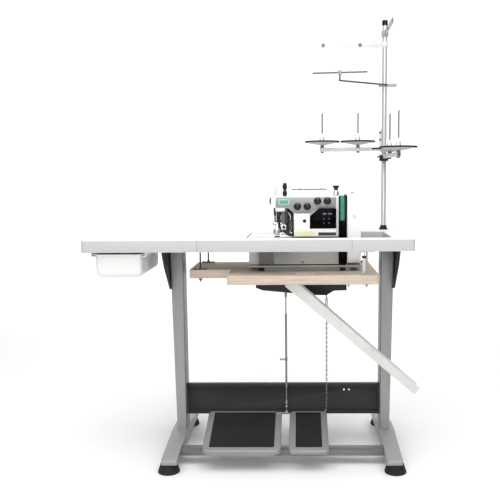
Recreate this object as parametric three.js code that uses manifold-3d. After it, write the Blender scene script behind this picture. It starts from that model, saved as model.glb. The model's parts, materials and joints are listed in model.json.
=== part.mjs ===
// An industrial overlock (serger) machine: a head sunk into its table, the steel stand, two
// pedals with their linkage, a waste chute, a drawer and a stand for four spools.
// Millimetres, +Z up, the operator sits at -Y. The origin is on the floor, under the middle
// of the whole machine.
import * as THREE from 'three';
import { mergeVertices } from 'three/addons/utils/BufferGeometryUtils.js';
import Module from 'manifold-3d';

const wasm = await Module();
wasm.setup();

// ---------------------------------------------------------------- driving dimensions
const GAP = 0.3; // left between two pieces that touch
const MERGE_DISTANCE = 1e-4;
const CURVE_STEPS = 5;

const TABLE = { middleX: -25, width: 1100, depth: 550, thickness: 40, top: 800, corner: 14 };
TABLE.left = TABLE.middleX - TABLE.width / 2;
TABLE.right = TABLE.middleX + TABLE.width / 2;
TABLE.front = -TABLE.depth / 2;
TABLE.under = TABLE.top - TABLE.thickness;
const CUTOUT = { left: -35, right: 460, front: -205, rear: 85, corner: 10 };
const INSERT = { left: -190, right: 318, seam: 0.6 };

const STAND = { middleX: 82, postInner: 356, postOuterLow: 392, postOuterTop: 404, postDepth: 80 };
STAND.wall = 2.5;
const FOOT = { inner: 356, outer: 410, reach: 280, low: 32, endHigh: 51, crown: 77, wall: 3 };
const PAD = { offset: 388, reach: 249, radius: 37, height: FOOT.low - GAP };
const CROSSBEAM = { low: 131, high: 245, front: -18, rear: 4, sheet: 3, lip: 12 };
const PEDAL_BAR = { front: -190, rear: -142, low: 35, high: 56, sheet: 2.5 };
const TABLE_ARM = { outer: 407, sheet: 2.5, reach: 190, lip: 11 };

const BOARD = { left: -243, right: 409, frontLeft: -94, front: -273, step: -102, rear: 150 };
BOARD.top = 681;
BOARD.under = 651;
const HANGERS = {
  hanger_front_left: [-205, -87],
  hanger_rear_left: [-203, 128],
  hanger_front_right: [369, -243],
  hanger_rear_right: [369, 128],
};
const WASTE_HOLE = { left: 130, right: 205, front: -258, rear: -200 };

const DRAWER = { left: -536, right: -380, front: -250, rear: 62, low: 672, high: 752, wall: 2.5 };

const PEDAL = { pivotY: -166, pivotZ: 80, slope: 0.2777, length: 244, heel: -95.2, top: 27.1 };
PEDAL.thickness = 16;
PEDAL.pocket = 4;
PEDAL.web = 4;
PEDAL.pin = 4;
PEDAL.link = 138;
const TREADLE = { left: -191, right: 79, ribs: [-150, 40], skirt: 6 };
const LIFTER = { left: 107, right: 244, ribs: [130, 221] };
const TREADLE_ROD = { x: 96, y: -48, ball: 169.7, top: 628, tube: 3.9 };
const LIFT_CHAIN = { x: 243, y: -46, low: 160, top: 628 };

const CHUTE = { near: -245, far: -185, sheet: 1.6, startX: 97, startZ: 642, endX: 532, endZ: 272 };
CHUTE.heightTop = 37;
CHUTE.heightEnd = 27;

const HEAD = { left: 50, right: 310, front: -150, rear: 40, top: 937, armUnder: 899, column: 128 };
HEAD.shoulder = 881;
const CASTING_WALL = 8;
const BED = { left: -31, right: 310, front: -148, rear: 58, low: 694, flange: 701, top: 795.6 };
const MOTOR = { right: 357, front: -150, rear: 45, low: 706, top: 945, wall: 4 };
const BUTTON = { x: 334, y: -60, radius: 7 };
const SHAFT = { y: -20, z: 750, radius: 8 };
const NEEDLE = { x: 88, y: -118, tip: 802.5 };
const PRESSER = { x: 62, y: -100 };

const POLE = { x: 473, y: 200, radius: 9.5, bore: 8, joint: 1069, top: 1590 };
const SPOOL_ARM_LEFT = { low: 1101, high: 1116, angle: Math.PI, rim: 1141, pinTop: 1247, collar: 2 };
const SPOOL_ARM_FRONT = { low: 1073, high: 1089, angle: -1.468, rim: 1109, pinTop: 1235, collar: 9 };
const SPOOL_SEATS = [100, 237];
const SPOOL_PIN = 3;
const TOP_GUIDE_LEFT = { middle: 1499, angle: Math.PI };
const TOP_GUIDE_FRONT = { middle: 1540, angle: -Math.PI / 2 };
const MIDDLE_GUIDE = { arm: 1349, bar: 1377, endX: 295, endY: 48, barHalf: 100, wire: 3.2 };

// ---------------------------------------------------------------- making and joining solids
function closed(geometry) {
  // Keeps positions only, merges shared corners, drops empty triangles and faces outwards.
  const plain = geometry.clone();
  plain.deleteAttribute('normal');
  plain.deleteAttribute('uv');
  const merged = mergeVertices(plain, MERGE_DISTANCE);
  const index = merged.index.array;
  const triangles = [];
  for (let i = 0; i < index.length; i += 3) {
    const [a, b, c] = [index[i], index[i + 1], index[i + 2]];
    if (a !== b && b !== c && c !== a) triangles.push([a, b, c]);
  }
  const corner = (i) => new THREE.Vector3().fromBufferAttribute(merged.attributes.position, i);
  const volume = triangles.reduce(
    (sum, [a, b, c]) => sum + corner(a).dot(corner(b).cross(corner(c))),
    0,
  );
  if (volume < 0) triangles.forEach((triangle) => triangle.reverse());
  merged.setIndex(triangles.flat());
  return merged;
}

function toSolid(geometry) {
  const merged = closed(geometry);
  const vertProperties = new Float32Array(merged.attributes.position.array);
  const triVerts = new Uint32Array(merged.index.array);
  return new wasm.Manifold(new wasm.Mesh({ numProp: 3, vertProperties, triVerts }));
}

function fromSolid(solid) {
  const { vertProperties, triVerts } = solid.getMesh();
  const geometry = new THREE.BufferGeometry();
  geometry.setAttribute('position', new THREE.BufferAttribute(vertProperties, 3));
  geometry.setIndex(new THREE.BufferAttribute(triVerts, 1));
  return geometry;
}

function join(...geometries) {
  return fromSolid(geometries.map(toSolid).reduce((all, one) => all.add(one)));
}

function cut(body, ...tools) {
  return fromSolid(tools.map(toSolid).reduce((all, one) => all.subtract(one), toSolid(body)));
}

// ---------------------------------------------------------------- basic shapes
function block([x0, x1], [y0, y1], [z0, z1]) {
  const geometry = new THREE.BoxGeometry(x1 - x0, y1 - y0, z1 - z0);
  return geometry.translate((x0 + x1) / 2, (y0 + y1) / 2, (z0 + z1) / 2);
}

function outline(corners) {
  // A closed flat shape. A corner [a, b, r] is rounded over a distance r on both its sides.
  const shape = new THREE.Shape();
  const at = (i) => new THREE.Vector2(...corners.at(i % corners.length).slice(0, 2));
  corners.forEach(([a, b, r = 0], i) => {
    const start = at(i).add(at(i - 1).sub(at(i)).setLength(r));
    const end = at(i).add(at(i + 1).sub(at(i)).setLength(r));
    if (i === 0) shape.moveTo(start.x, start.y);
    else shape.lineTo(start.x, start.y);
    if (r > 0) shape.quadraticCurveTo(a, b, end.x, end.y);
  });
  shape.closePath();
  return shape;
}

function rectangle([a0, a1], [b0, b1], r = 0) {
  return outline([[a0, b0, r], [a1, b0, r], [a1, b1, r], [a0, b1, r]]);
}

function extrude(shape, depth) {
  return new THREE.ExtrudeGeometry(shape, {
    depth,
    bevelEnabled: false,
    curveSegments: CURVE_STEPS,
  });
}

const AXIS_X = new THREE.Vector3(1, 0, 0);
const AXIS_Y = new THREE.Vector3(0, 1, 0);
const AXIS_Z = new THREE.Vector3(0, 0, 1);

function slab(shape, [z0, z1]) {
  // A plan outline (x, y) given a height.
  return extrude(shape, z1 - z0).translate(0, 0, z0);
}

function frontPrism(shape, [y0, y1]) {
  // An outline seen from the front (x, z), given a depth.
  const turn = new THREE.Matrix4().makeBasis(AXIS_X, AXIS_Z, AXIS_Y.clone().negate());
  return extrude(shape, y1 - y0).applyMatrix4(turn).translate(0, y1, 0);
}

function sidePrism(shape, [x0, x1]) {
  // An outline seen from the side (y, z), given a width.
  const turn = new THREE.Matrix4().makeBasis(AXIS_Y, AXIS_Z, AXIS_X);
  return extrude(shape, x1 - x0).applyMatrix4(turn).translate(x0, 0, 0);
}

function rod(radius, from, to, sides = 12) {
  const [start, end] = [new THREE.Vector3(...from), new THREE.Vector3(...to)];
  const geometry = new THREE.CylinderGeometry(radius, radius, start.distanceTo(end), sides);
  const direction = end.clone().sub(start).normalize();
  geometry.applyQuaternion(new THREE.Quaternion().setFromUnitVectors(AXIS_Y, direction));
  return geometry.translate(...start.add(end).multiplyScalar(0.5));
}

function turned(profile, sides = 20) {
  // A body turned about Z. The profile is a list of [radius, z], from the axis to the axis.
  const points = profile.map(([r, z]) => new THREE.Vector2(r, z));
  return new THREE.LatheGeometry(points, sides).rotateX(Math.PI / 2);
}

function bentWire(points, radius, steps, sides = 8) {
  const path = new THREE.CatmullRomCurve3(points.map((point) => new THREE.Vector3(...point)));
  path.curveType = 'catmullrom';
  path.tension = 0.3;
  const section = new THREE.Shape();
  section.absarc(0, 0, radius, 0, 2 * Math.PI);
  const options = { steps, extrudePath: path, curveSegments: sides, bevelEnabled: false };
  return new THREE.ExtrudeGeometry(section, options);
}

// ---------------------------------------------------------------- the scene graph
const machine = new THREE.Group();

function piece(name, geometry, [color, roughness, metalness], parent = machine) {
  const body = closed(geometry);
  body.computeVertexNormals();
  const material = new THREE.MeshStandardMaterial({ color, roughness, metalness });
  const mesh = new THREE.Mesh(body, material);
  mesh.name = name;
  parent.add(mesh);
  return mesh;
}

function groupAt(position, parent = machine) {
  const group = new THREE.Group();
  group.position.set(...position);
  parent.add(group);
  return group;
}

const WHITE_LAMINATE = [0xe6e6e4, 0.45, 0];
const WHITE_PLASTIC = [0xe3e3df, 0.5, 0];
const WHITE_PAINT = [0xeceae6, 0.35, 0];
const GREY_PAINT = [0x8c8d8b, 0.45, 0.1];
const DARK_GREY_PAINT = [0x5c5d5c, 0.5, 0.1];
const HEAD_GREY = [0xa7aaa6, 0.4, 0.1];
const BLACK_PLASTIC = [0x161617, 0.4, 0];
const BLACK_RUBBER = [0x232323, 0.8, 0];
const PLYWOOD = [0xc9b8a8, 0.7, 0];
const STEEL = [0xb9bcbd, 0.3, 0.9];
const GLOSS_BLACK = [0x050507, 0.1, 0];

// ---------------------------------------------------------------- table
function tableTop() {
  const { left, right, front, corner } = TABLE;
  const rear = -front;
  const seamLeft = INSERT.left - INSERT.seam;
  const seamRight = INSERT.right + INSERT.seam;
  return slab(outline([
    [left, front, corner],
    [seamLeft, front],
    [seamLeft, CUTOUT.rear],
    [CUTOUT.right, CUTOUT.rear, CUTOUT.corner],
    [CUTOUT.right, CUTOUT.front, CUTOUT.corner],
    [seamRight, CUTOUT.front],
    [seamRight, front],
    [right, front, corner],
    [right, rear, corner],
    [left, rear, corner],
  ]), [TABLE.under, TABLE.top]);
}

function tableInsert() {
  return slab(outline([
    [INSERT.left, TABLE.front],
    [INSERT.right, TABLE.front],
    [INSERT.right, CUTOUT.front],
    [CUTOUT.left, CUTOUT.front, CUTOUT.corner],
    [CUTOUT.left, CUTOUT.rear - INSERT.seam],
    [INSERT.left, CUTOUT.rear - INSERT.seam],
  ]), [TABLE.under, TABLE.top]);
}

piece('table_top', tableTop(), WHITE_LAMINATE);
piece('table_front_insert', tableInsert(), WHITE_LAMINATE);

// ---------------------------------------------------------------- stand
function legPost(side) {
  // A steel tube, a little wider at its top and open at both ends.
  const { middleX, postInner, postOuterLow, postOuterTop, postDepth, wall } = STAND;
  const bottom = FOOT.crown + GAP;
  const top = TABLE.under - GAP - TABLE_ARM.sheet - GAP;
  const column = (inset, overrun) => frontPrism(outline([
    [middleX + side * (postInner + inset), bottom - overrun],
    [middleX + side * (postOuterLow - inset), bottom - overrun],
    [middleX + side * (postOuterTop - inset), top + overrun],
    [middleX + side * (postInner + inset), top + overrun],
  ]), [-postDepth / 2 + inset, postDepth / 2 - inset]);
  return cut(column(0, 0), column(wall, 1));
}

function between(side, near, far) {
  // The x range between two distances from the middle of the stand, on one side of it.
  const ends = [STAND.middleX + side * near, STAND.middleX + side * far];
  return ends.sort((a, b) => a - b);
}

function footBeam(side) {
  // A low beam that rises towards the post, hollow and open underneath.
  const { inner, outer, reach, low, endHigh, crown, wall } = FOOT;
  const crownHalf = STAND.postDepth / 2 + 4;
  const hollowReach = 205;
  const shape = outline([
    [-reach, low],
    [reach, low],
    [reach, endHigh, 8],
    [crownHalf, crown, 6],
    [-crownHalf, crown, 6],
    [-reach, endHigh, 8],
  ]);
  const hollow = outline([
    [-hollowReach, low - 1],
    [hollowReach, low - 1],
    [hollowReach, endHigh],
    [crownHalf, crown - wall],
    [-crownHalf, crown - wall],
    [-hollowReach, endHigh],
  ]);
  return cut(
    sidePrism(shape, between(side, inner, outer)),
    sidePrism(hollow, between(side, inner + wall, outer - wall)),
  );
}

function levellingPad() {
  // A rubber foot that narrows upwards in three steps.
  const { radius, height } = PAD;
  return turned([
    [0, 0],
    [radius - 1.5, 0],
    [radius, 2],
    [radius, 8],
    [radius - 2.5, 9.5],
    [radius - 2.5, 15],
    [radius - 5, 16.5],
    [radius - 5, 22],
    [radius - 7.5, 23.5],
    [radius - 7.5, height],
    [0, height],
  ], 24);
}

function tableArm(side) {
  // A folded sheet: a flat top under the table and a flange outside the post. The flange is
  // deep at the post and shallow at both ends, and its sloping edges are turned in.
  const { outer, sheet, reach, lip } = TABLE_ARM;
  const top = TABLE.under - GAP;
  const [elbowY, elbowZ, lowY, lowZ] = [150, 702, 44, 604];
  const half = [[-reach, top], [-elbowY, elbowZ], [-lowY, lowZ]];
  const mirrored = half.map(([y, z]) => [-y, z]).reverse();
  const profile = outline([...half, ...mirrored]);
  const flange = sidePrism(profile, between(side, outer - sheet, outer));
  const plate = block(between(side, STAND.postInner, outer - 1), [-reach, reach], [top - sheet, top]);
  const lips = [-1, 1].map((end) => sidePrism(
    outline([
      [end * (elbowY - 1), elbowZ],
      [end * (lowY + 2), lowZ + 1],
      [end * (lowY + 2), lowZ + 1 + sheet],
      [end * (elbowY - 1), elbowZ + sheet],
    ]),
    between(side, outer - lip, outer - sheet / 2),
  ));
  return join(flange, plate, ...lips);
}

function crossbeam() {
  const { low, high, front, rear, sheet, lip } = CROSSBEAM;
  const profile = outline([
    [front, high],
    [front, high - lip],
    [front + sheet, high - lip],
    [front + sheet, high - sheet],
    [rear - sheet, high - sheet],
    [rear - sheet, low + sheet],
    [front + sheet, low + sheet],
    [front + sheet, low + lip],
    [front, low + lip],
    [front, low],
    [rear, low],
    [rear, high],
  ]);
  const end = STAND.postInner - GAP;
  const beam = sidePrism(profile, [STAND.middleX - end, STAND.middleX + end]);
  const boltPlaces = [309, 328];
  const holes = boltPlaces.map((x) => rod(3.5, [x, rear - 10, 217], [x, rear + 10, 217], 12));
  return cut(beam, ...holes);
}

function pedalBar() {
  const { front, rear, low, high, sheet } = PEDAL_BAR;
  const profile = outline([
    [front, low],
    [front + sheet, low],
    [front + sheet, high - sheet],
    [rear - sheet, high - sheet],
    [rear - sheet, low],
    [rear, low],
    [rear, high],
    [front, high],
  ]);
  const end = FOOT.inner - GAP;
  const bar = sidePrism(profile, [STAND.middleX - end, STAND.middleX + end]);
  const lugs = [...TREADLE.ribs, ...LIFTER.ribs].map((x) => {
    const lug = sidePrism(
      outline([[-12, high - 1], [12, high - 1], [9, PEDAL.pivotZ + 9, 6], [-9, PEDAL.pivotZ + 9, 6]]),
      [x - 3, x + 3],
    );
    return lug.translate(0, PEDAL.pivotY, 0);
  });
  const ends = (x) => [[x - 9, PEDAL.pivotY, PEDAL.pivotZ], [x + 9, PEDAL.pivotY, PEDAL.pivotZ]];
  const holes = [...TREADLE.ribs, ...LIFTER.ribs].map((x) => rod(PEDAL.pin + 0.6, ...ends(x), 16));
  return cut(join(bar, ...lugs), ...holes);
}

for (const [side, word] of [[-1, 'left'], [1, 'right']]) {
  piece(`leg_post_${word}`, legPost(side), GREY_PAINT);
  piece(`foot_${word}`, footBeam(side), GREY_PAINT);
  piece(`table_arm_${word}`, tableArm(side), DARK_GREY_PAINT);
  for (const [end, place] of [[-1, 'front'], [1, 'rear']]) {
    const pad = piece(`pad_${place}_${word}`, levellingPad(), BLACK_RUBBER);
    pad.position.set(STAND.middleX + side * PAD.offset, end * PAD.reach, 0);
  }
}
piece('crossbeam', crossbeam(), DARK_GREY_PAINT);
piece('pedal_bar', pedalBar(), GREY_PAINT);

// ---------------------------------------------------------------- board that carries the head
function mountingBoard() {
  const { left, right, frontLeft, front, step, rear, top, under } = BOARD;
  const shape = outline([
    [left, step, 6],
    [frontLeft, step],
    [frontLeft, front, 14],
    [right, front, 14],
    [right, rear, 6],
    [left, rear, 6],
  ]);
  const holes = Object.values(HANGERS).map(([x, y]) => {
    const hole = new THREE.Path();
    hole.absarc(x, y, 4, 0, 2 * Math.PI, true);
    return hole;
  });
  const waste = WASTE_HOLE;
  const wasteHole = rectangle([waste.left, waste.right], [waste.front, waste.rear], 8);
  shape.holes.push(...holes, wasteHole);
  return slab(shape, [under, top]);
}

function hanger() {
  // A threaded rod with a plate under the table, a plate on the board and a nut below it.
  const plateHalf = 25;
  const plate = (z) => block([-plateHalf, plateHalf], [-12, 12], [z, z + 3]);
  const underBoard = BOARD.under - GAP;
  return join(
    rod(3, [0, 0, underBoard - 13], [0, 0, TABLE.under - GAP - 1]),
    plate(TABLE.under - GAP - 3),
    plate(BOARD.top + GAP),
    rod(6, [0, 0, BOARD.top + 2], [0, 0, BOARD.top + 8], 6),
    rod(8, [0, 0, underBoard - 1.5], [0, 0, underBoard]),
    rod(6, [0, 0, underBoard - 7], [0, 0, underBoard - 1], 6),
  );
}

piece('mounting_board', mountingBoard(), PLYWOOD);
for (const [name, [x, y]] of Object.entries(HANGERS)) {
  piece(name, hanger(), STEEL).position.set(x, y, 0);
}

// ---------------------------------------------------------------- drawer
function drawerTray() {
  // A moulded tray with a sloping lower edge all round and a lip that slides in the rails.
  const { left, right, front, rear, low, high, wall } = DRAWER;
  const slope = 20;
  const tub = (inset, floor) => {
    const [x0, x1] = [left + inset + slope, right - inset - slope];
    const [y0, y1] = [front + inset + slope, rear - inset - slope];
    const solid = new THREE.ExtrudeGeometry(rectangle([x0, x1], [y0, y1], 2), {
      depth: high - low,
      bevelThickness: slope,
      bevelSize: slope,
      bevelSegments: 2,
      curveSegments: 2,
    });
    return solid.translate(0, 0, floor + slope);
  };
  const above = block([left - 50, right + 50], [front - 50, rear + 50], [high, high + 200]);
  const outside = cut(tub(0, low), above);
  const lip = block([left - 9, right + 9], [front + 12, rear - 2], [high - 3, high]);
  return cut(join(outside, lip), tub(wall, low + wall));
}

function drawerRails() {
  // Two rails that hold the lip, joined by a strip behind the drawer.
  const { left, right, front, rear, high } = DRAWER;
  const top = TABLE.under - GAP;
  const [y0, y1] = [front + 8, rear + 10];
  const rail = (x, side) => {
    const web = [x + side * 11, x + side * 14].sort((a, b) => a - b);
    const shelf = [x + side * 2, x + side * 14].sort((a, b) => a - b);
    return join(
      block(web, [y0, y1], [high - 9, top]),
      block(shelf, [y0, y1], [high - 9, high - 6]),
      block(shelf, [y0, y1], [top - 2.5, top]),
    );
  };
  const strip = block([left - 14, right + 14], [rear + 7, rear + 10], [high - 9, top]);
  return join(rail(left, -1), rail(right, 1), strip);
}

piece('drawer_rails', drawerRails(), WHITE_PLASTIC);
piece('drawer_tray', drawerTray(), WHITE_PLASTIC);

// ---------------------------------------------------------------- pedals
// A pedal is built about its pivot: y runs from the heel to the toe, z stands square on it.
const PEDAL_BORDER = { side: 22, heel: 21, toe: 10 };

function pedalFrame({ left, right, ribs }, corner, extras) {
  const { length, heel, top, thickness, pocket, web } = PEDAL;
  const toe = heel + length;
  const under = top - thickness;
  const mat = matRange({ left, right }, 0);
  const ribHeight = [-9, top - pocket - web + 1];
  const ribBlocks = ribs.flatMap((x) => [-1, 1].map((side) => {
    const ends = [x + side * 4, x + side * 9].sort((a, b) => a - b);
    return block(ends, [-10, 10], ribHeight);
  }));
  const pins = ribs.map((x) => rod(PEDAL.pin, [x - 6, 0, 0], [x + 6, 0, 0], 16));
  const rim = slab(rectangle([left, right], [heel, toe], corner), [under, top]);
  const hollowShape = rectangle([left + 6, right - 6], [heel + 6, toe - 6], corner - 5);
  const shell = cut(
    rim,
    slab(rectangle(mat.x, mat.y, 5), [top - pocket, top + 1]),
    slab(hollowShape, [under - 1, top - pocket - web]),
  );
  return join(shell, ...ribBlocks, ...pins, ...extras);
}

function matRange({ left, right }, inset) {
  const { length, heel } = PEDAL;
  const { side, heel: heelBorder, toe } = PEDAL_BORDER;
  return {
    x: [left + side + inset, right - side - inset],
    y: [heel + heelBorder + inset, heel + length - toe - inset],
  };
}

function pedalMat(pedal) {
  const mat = matRange(pedal, GAP);
  const floor = PEDAL.top - PEDAL.pocket + GAP;
  return slab(rectangle(mat.x, mat.y, 4.5), [floor, floor + 3.2]);
}

function ballBracket() {
  const { top } = PEDAL;
  const { x } = TREADLE_ROD;
  const [y, ballZ, ballRadius] = [PEDAL.link, 54, 6];
  return [
    block([60, x + 9], [y - 10, y + 7], [top - 2, top + 4]),
    rod(3, [x, y, top], [x, y, ballZ]),
    new THREE.SphereGeometry(ballRadius, 12, 8).translate(x, y, ballZ),
  ];
}

function heelSkirt({ left, right, skirt }) {
  // A strip that deepens the wall at the heel, short of the rounded corners.
  const { heel, top, thickness } = PEDAL;
  const under = top - thickness;
  return block([left + 19, right - 19], [heel + 0.5, heel + 6], [under - skirt, under + 1]);
}

function chainEye() {
  const { top, link } = PEDAL;
  const x = LIFT_CHAIN.x - 4;
  return [rod(3, [x, link, top - 2], [x, link, top + 11])];
}

function pedalGroup() {
  const group = groupAt([0, PEDAL.pivotY, PEDAL.pivotZ]);
  group.rotation.x = PEDAL.slope;
  return group;
}

const treadleGroup = pedalGroup();
const treadleExtras = [...ballBracket(), heelSkirt(TREADLE)];
piece('treadle_frame', pedalFrame(TREADLE, 22, treadleExtras), GREY_PAINT, treadleGroup);
piece('treadle_mat', pedalMat(TREADLE), BLACK_RUBBER, treadleGroup);
const lifterGroup = pedalGroup();
piece('lifter_pedal_frame', pedalFrame(LIFTER, 18, chainEye()), GREY_PAINT, lifterGroup);
piece('lifter_pedal_mat', pedalMat(LIFTER), BLACK_RUBBER, lifterGroup);

// ---------------------------------------------------------------- linkage under the board
function treadleRod() {
  // A socket over the ball, a thin rod, a long tube with a wing screw, and the hooked rod.
  const { x, y, ball, top, tube } = TREADLE_ROD;
  const at = (z) => [x, y, z];
  const socket = ball + 6.8;
  const screwZ = 345;
  return join(
    rod(7, at(socket), at(socket + 16)),
    rod(2.2, at(socket + 10), at(250)),
    rod(tube, at(238), at(512)),
    rod(2.2, at(500), at(top)),
    rod(4.5, at(574), at(590)),
    rod(2.5, [x - 16, y, screwZ], [x, y, screwZ], 8),
    block([x - 22, x - 14], [y - 1.5, y + 1.5], [screwZ - 5, screwZ + 5]),
  );
}

function liftChain() {
  const { x, y, low, top } = LIFT_CHAIN;
  const at = (z) => [x, y, z];
  return join(
    rod(3.2, at(low), at(520), 8),
    rod(5.5, at(508), at(572)),
    rod(2.5, at(560), at(top), 8),
  );
}

function controlBox() {
  const top = BOARD.under - GAP;
  const shape = outline([
    [-7, top],
    [-7, 620],
    [16, 611],
    [112, 601],
    [187, 594],
    [240, 593],
    [266, 609],
    [310, 610],
    [310, top],
  ]);
  const box = frontPrism(shape, [-130, 12]);
  const slot = ({ x, y }) => block([x - 9, x + 9], [y - 17, y + 17], [560, top - 4]);
  return cut(box, slot(TREADLE_ROD), slot(LIFT_CHAIN));
}

piece('treadle_rod', treadleRod(), STEEL);
piece('lift_chain', liftChain(), STEEL);
piece('control_box', controlBox(), BLACK_PLASTIC);

// ---------------------------------------------------------------- waste chute
function wasteChute() {
  // A trough that runs down to the right, with a flange on the underside of the board.
  const { near, far, sheet, startX, startZ, endX, endZ, heightTop, heightEnd } = CHUTE;
  const along = new THREE.Vector2(endX - startX, endZ - startZ).normalize();
  const up = new THREE.Vector2(-along.y, along.x);
  const trough = (y, floor, rise, overrun) => {
    const place = (x, z, run, height) => [
      x + along.x * run + up.x * height,
      z + along.y * run + up.y * height,
    ];
    return frontPrism(outline([
      place(startX, startZ, -overrun, floor),
      place(endX, endZ, overrun, floor),
      place(endX, endZ, overrun, heightEnd + rise),
      place(startX, startZ, -overrun, heightTop + rise),
    ]), y);
  };
  const openAbove = 30;
  const lip = 1;
  const underBoard = BOARD.under - GAP;
  const ceiling = block([startX - 100, endX], [near - 9, far + 9], [underBoard - 1, 900]);
  const shell = cut(
    trough([near, far], 0, 0, 0),
    trough([near + sheet, far - sheet], sheet, openAbove, 5),
    ceiling,
  );
  const flangePlate = block([startX - 5, WASTE_HOLE.right + 6], [near - 8, far + 8],
    [underBoard - 2, underBoard]);
  const mouth = block([startX + 15, WASTE_HOLE.right - 4],
    [near + sheet + lip, far - sheet - lip], [underBoard - 3, underBoard + 9]);
  return cut(join(shell, flangePlate), mouth);
}

piece('waste_chute', wasteChute(), WHITE_PLASTIC);

// ---------------------------------------------------------------- machine head
function headBed() {
  // The lower casting: a pocket for the looper below the cloth plate, and hollow on its right.
  const { left, right, front, rear, low, flange, top } = BED;
  const body = join(
    block([10, right], [front, rear], [flange - 1, top]),
    block([left, 20], [front + 38, rear], [flange - 1, top]),
    block([left - 2, MOTOR.right], [front - 5, rear + 5], [low, flange]),
  );
  const pocket = block([25, 122], [-135, 8], [716, top + 1]);
  const wall = CASTING_WALL;
  const hollow = block([130, right - wall], [front + wall, rear - wall], [low - 1, top - wall]);
  const tunnelEnds = [[100, SHAFT.y, SHAFT.z], [right + 9, SHAFT.y, SHAFT.z]];
  return cut(body, pocket, hollow, rod(SHAFT.radius + 0.5, ...tunnelEnds, 20));
}

function clothPlate() {
  const plate = slab(rectangle([-30, 124], [-198, 78], 6), [TABLE.top - 4, TABLE.top]);
  const needleSlot = block([74, 108], [-124, -112], [790, 810]);
  return cut(plate, needleSlot);
}

function headBody() {
  // The upper casting: a column on the right and an arm over the sewing area, open underneath.
  const { left, right, front, rear, top, armUnder, shoulder, column } = HEAD;
  const low = TABLE.top + GAP;
  const shape = outline([
    [column, low],
    [right, low],
    [right, top, 5],
    [left, top, 14],
    [left, armUnder, 6],
    [column - 20, armUnder, 9],
    [column, shoulder, 6],
  ]);
  const fascia = outline([
    [66, armUnder + 1],
    [column - 21, armUnder + 1, 9],
    [column - 2, shoulder + 1, 6],
    [184, shoulder + 1],
    [214, shoulder + 18],
    [272, shoulder + 18],
    [272, top - 2, 3],
    [66, top - 2, 8],
  ]);
  const wall = CASTING_WALL;
  const hollow = outline([
    [column + wall, low - 1],
    [right - wall, low - 1],
    [right - wall, top - wall],
    [left + wall, top - wall],
    [left + wall, armUnder + wall],
    [column + wall, armUnder + wall],
  ]);
  const casting = join(frontPrism(shape, [front, rear]), frontPrism(fascia, [front - 2, front + 2]));
  return cut(
    casting,
    frontPrism(hollow, [front + wall, rear - wall]),
    rod(5, [NEEDLE.x, NEEDLE.y, armUnder - 5], [NEEDLE.x, NEEDLE.y, 925], 16),
    rod(4, [PRESSER.x, PRESSER.y, armUnder - 5], [PRESSER.x, PRESSER.y, 925], 16),
  );
}

function looperCover() {
  const front = HEAD.front - GAP;
  const shape = outline([
    [128, 801, 3],
    [272, 801, 3],
    [272, 828.2],
    [182.3, 828.2],
    [182.3, 880],
    [128, 880, 14],
  ]);
  return frontPrism(shape, [front - 12, front]);
}

function displayPanel() {
  const front = HEAD.front - GAP;
  const shape = outline([
    [182.8, 829.4, 2],
    [272, 829.4, 2],
    [272, 897.5, 2],
    [213.5, 897.5],
    [182.8, 871],
  ]);
  const clearOfFascia = 2;
  return frontPrism(shape, [front - 13, front - clearOfFascia]);
}

function motorCover() {
  // A shell open on its left side, where it meets the castings.
  const { right, front, rear, low, top, wall } = MOTOR;
  const left = HEAD.right + GAP;
  const outside = sidePrism(rectangle([front, rear], [low, top], 16), [left, right]);
  const inside = rectangle([front + wall, rear - wall], [low + wall, top - wall], 13);
  const { x, y, radius } = BUTTON;
  const buttonHole = rod(radius + 0.5, [x, y, top - 9], [x, y, top + 9], 20);
  return cut(outside, sidePrism(inside, [left - 1, right - wall]), buttonHole);
}

function coverButton() {
  const { radius } = BUTTON;
  const { top } = MOTOR;
  return turned([[0, top - 6], [radius, top - 6], [radius, top + 2.5], [0, top + 5]], 20);
}

function lightStrip() {
  const face = rectangle([281, HEAD.right - 1], [MOTOR.low, 940], 2);
  return frontPrism(face, [HEAD.front - 5, HEAD.front - GAP]);
}

function topHousing() {
  const low = HEAD.top + GAP;
  const top = HEAD.top + 25;
  const shape = outline([[107, low], [264, low], [242, top, 4], [121, top, 4]]);
  return frontPrism(shape, [-95, 15]);
}

function tensionDial() {
  // Built about Z and then turned to face the operator.
  const profile = [
    [0, 0], [12.5, 0], [12.5, 8], [9, 10], [9, 12], [12, 14], [12, 20], [5, 23], [0, 23],
  ];
  return turned(profile, 20).rotateX(Math.PI / 2);
}

function pressureKnob() {
  const profile = [
    [0, 0], [5, 0], [8, 4], [8, 16], [4.5, 21], [8, 26], [8, 40], [5, 47], [0, 47],
  ];
  return turned(profile, 16);
}

function oilSight() {
  const profile = [
    [0, 0], [9, 0], [10.5, 8], [6, 19], [6, 24], [13, 33], [13, 36], [0, 36],
  ];
  return turned(profile, 20);
}

function needleBar() {
  const { x, y, tip } = NEEDLE;
  const at = (z) => [x, y, z];
  return join(
    rod(4.5, at(840), at(912), 12),
    block([x - 8, x + 8], [y - 6, y + 6], [832, 848]),
    rod(1.1, at(tip), at(836), 8),
  );
}

function presserFoot() {
  const { x, y } = PRESSER;
  return join(
    rod(3.5, [x, y, 836], [x, y, 905], 12),
    block([x - 7, x + 12], [y - 8, y + 6], [836, 848]),
    block([x + 4, x + 12], [-146, y - 4], [838, 846]),
    block([x + 4, x + 12], [-146, -140], [803, 842]),
    block([x + 2, x + 40], [-160, -121], [800.9, 804.4]),
  );
}

function upperKnife() {
  return join(
    block([110, 113], [-126, -112], [804, 842]),
    block([112, 127.3], [-128, -110], [834, 852]),
  );
}

function looper() {
  const bend = [[60, -70, 740], [75, -95, 742], [88, -112, 758], [84, -104, 778]];
  return join(
    bentWire(bend, 3, 14),
    rod(6, [60, -82, 740], [60, -58, 740], 12),
  );
}

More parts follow.
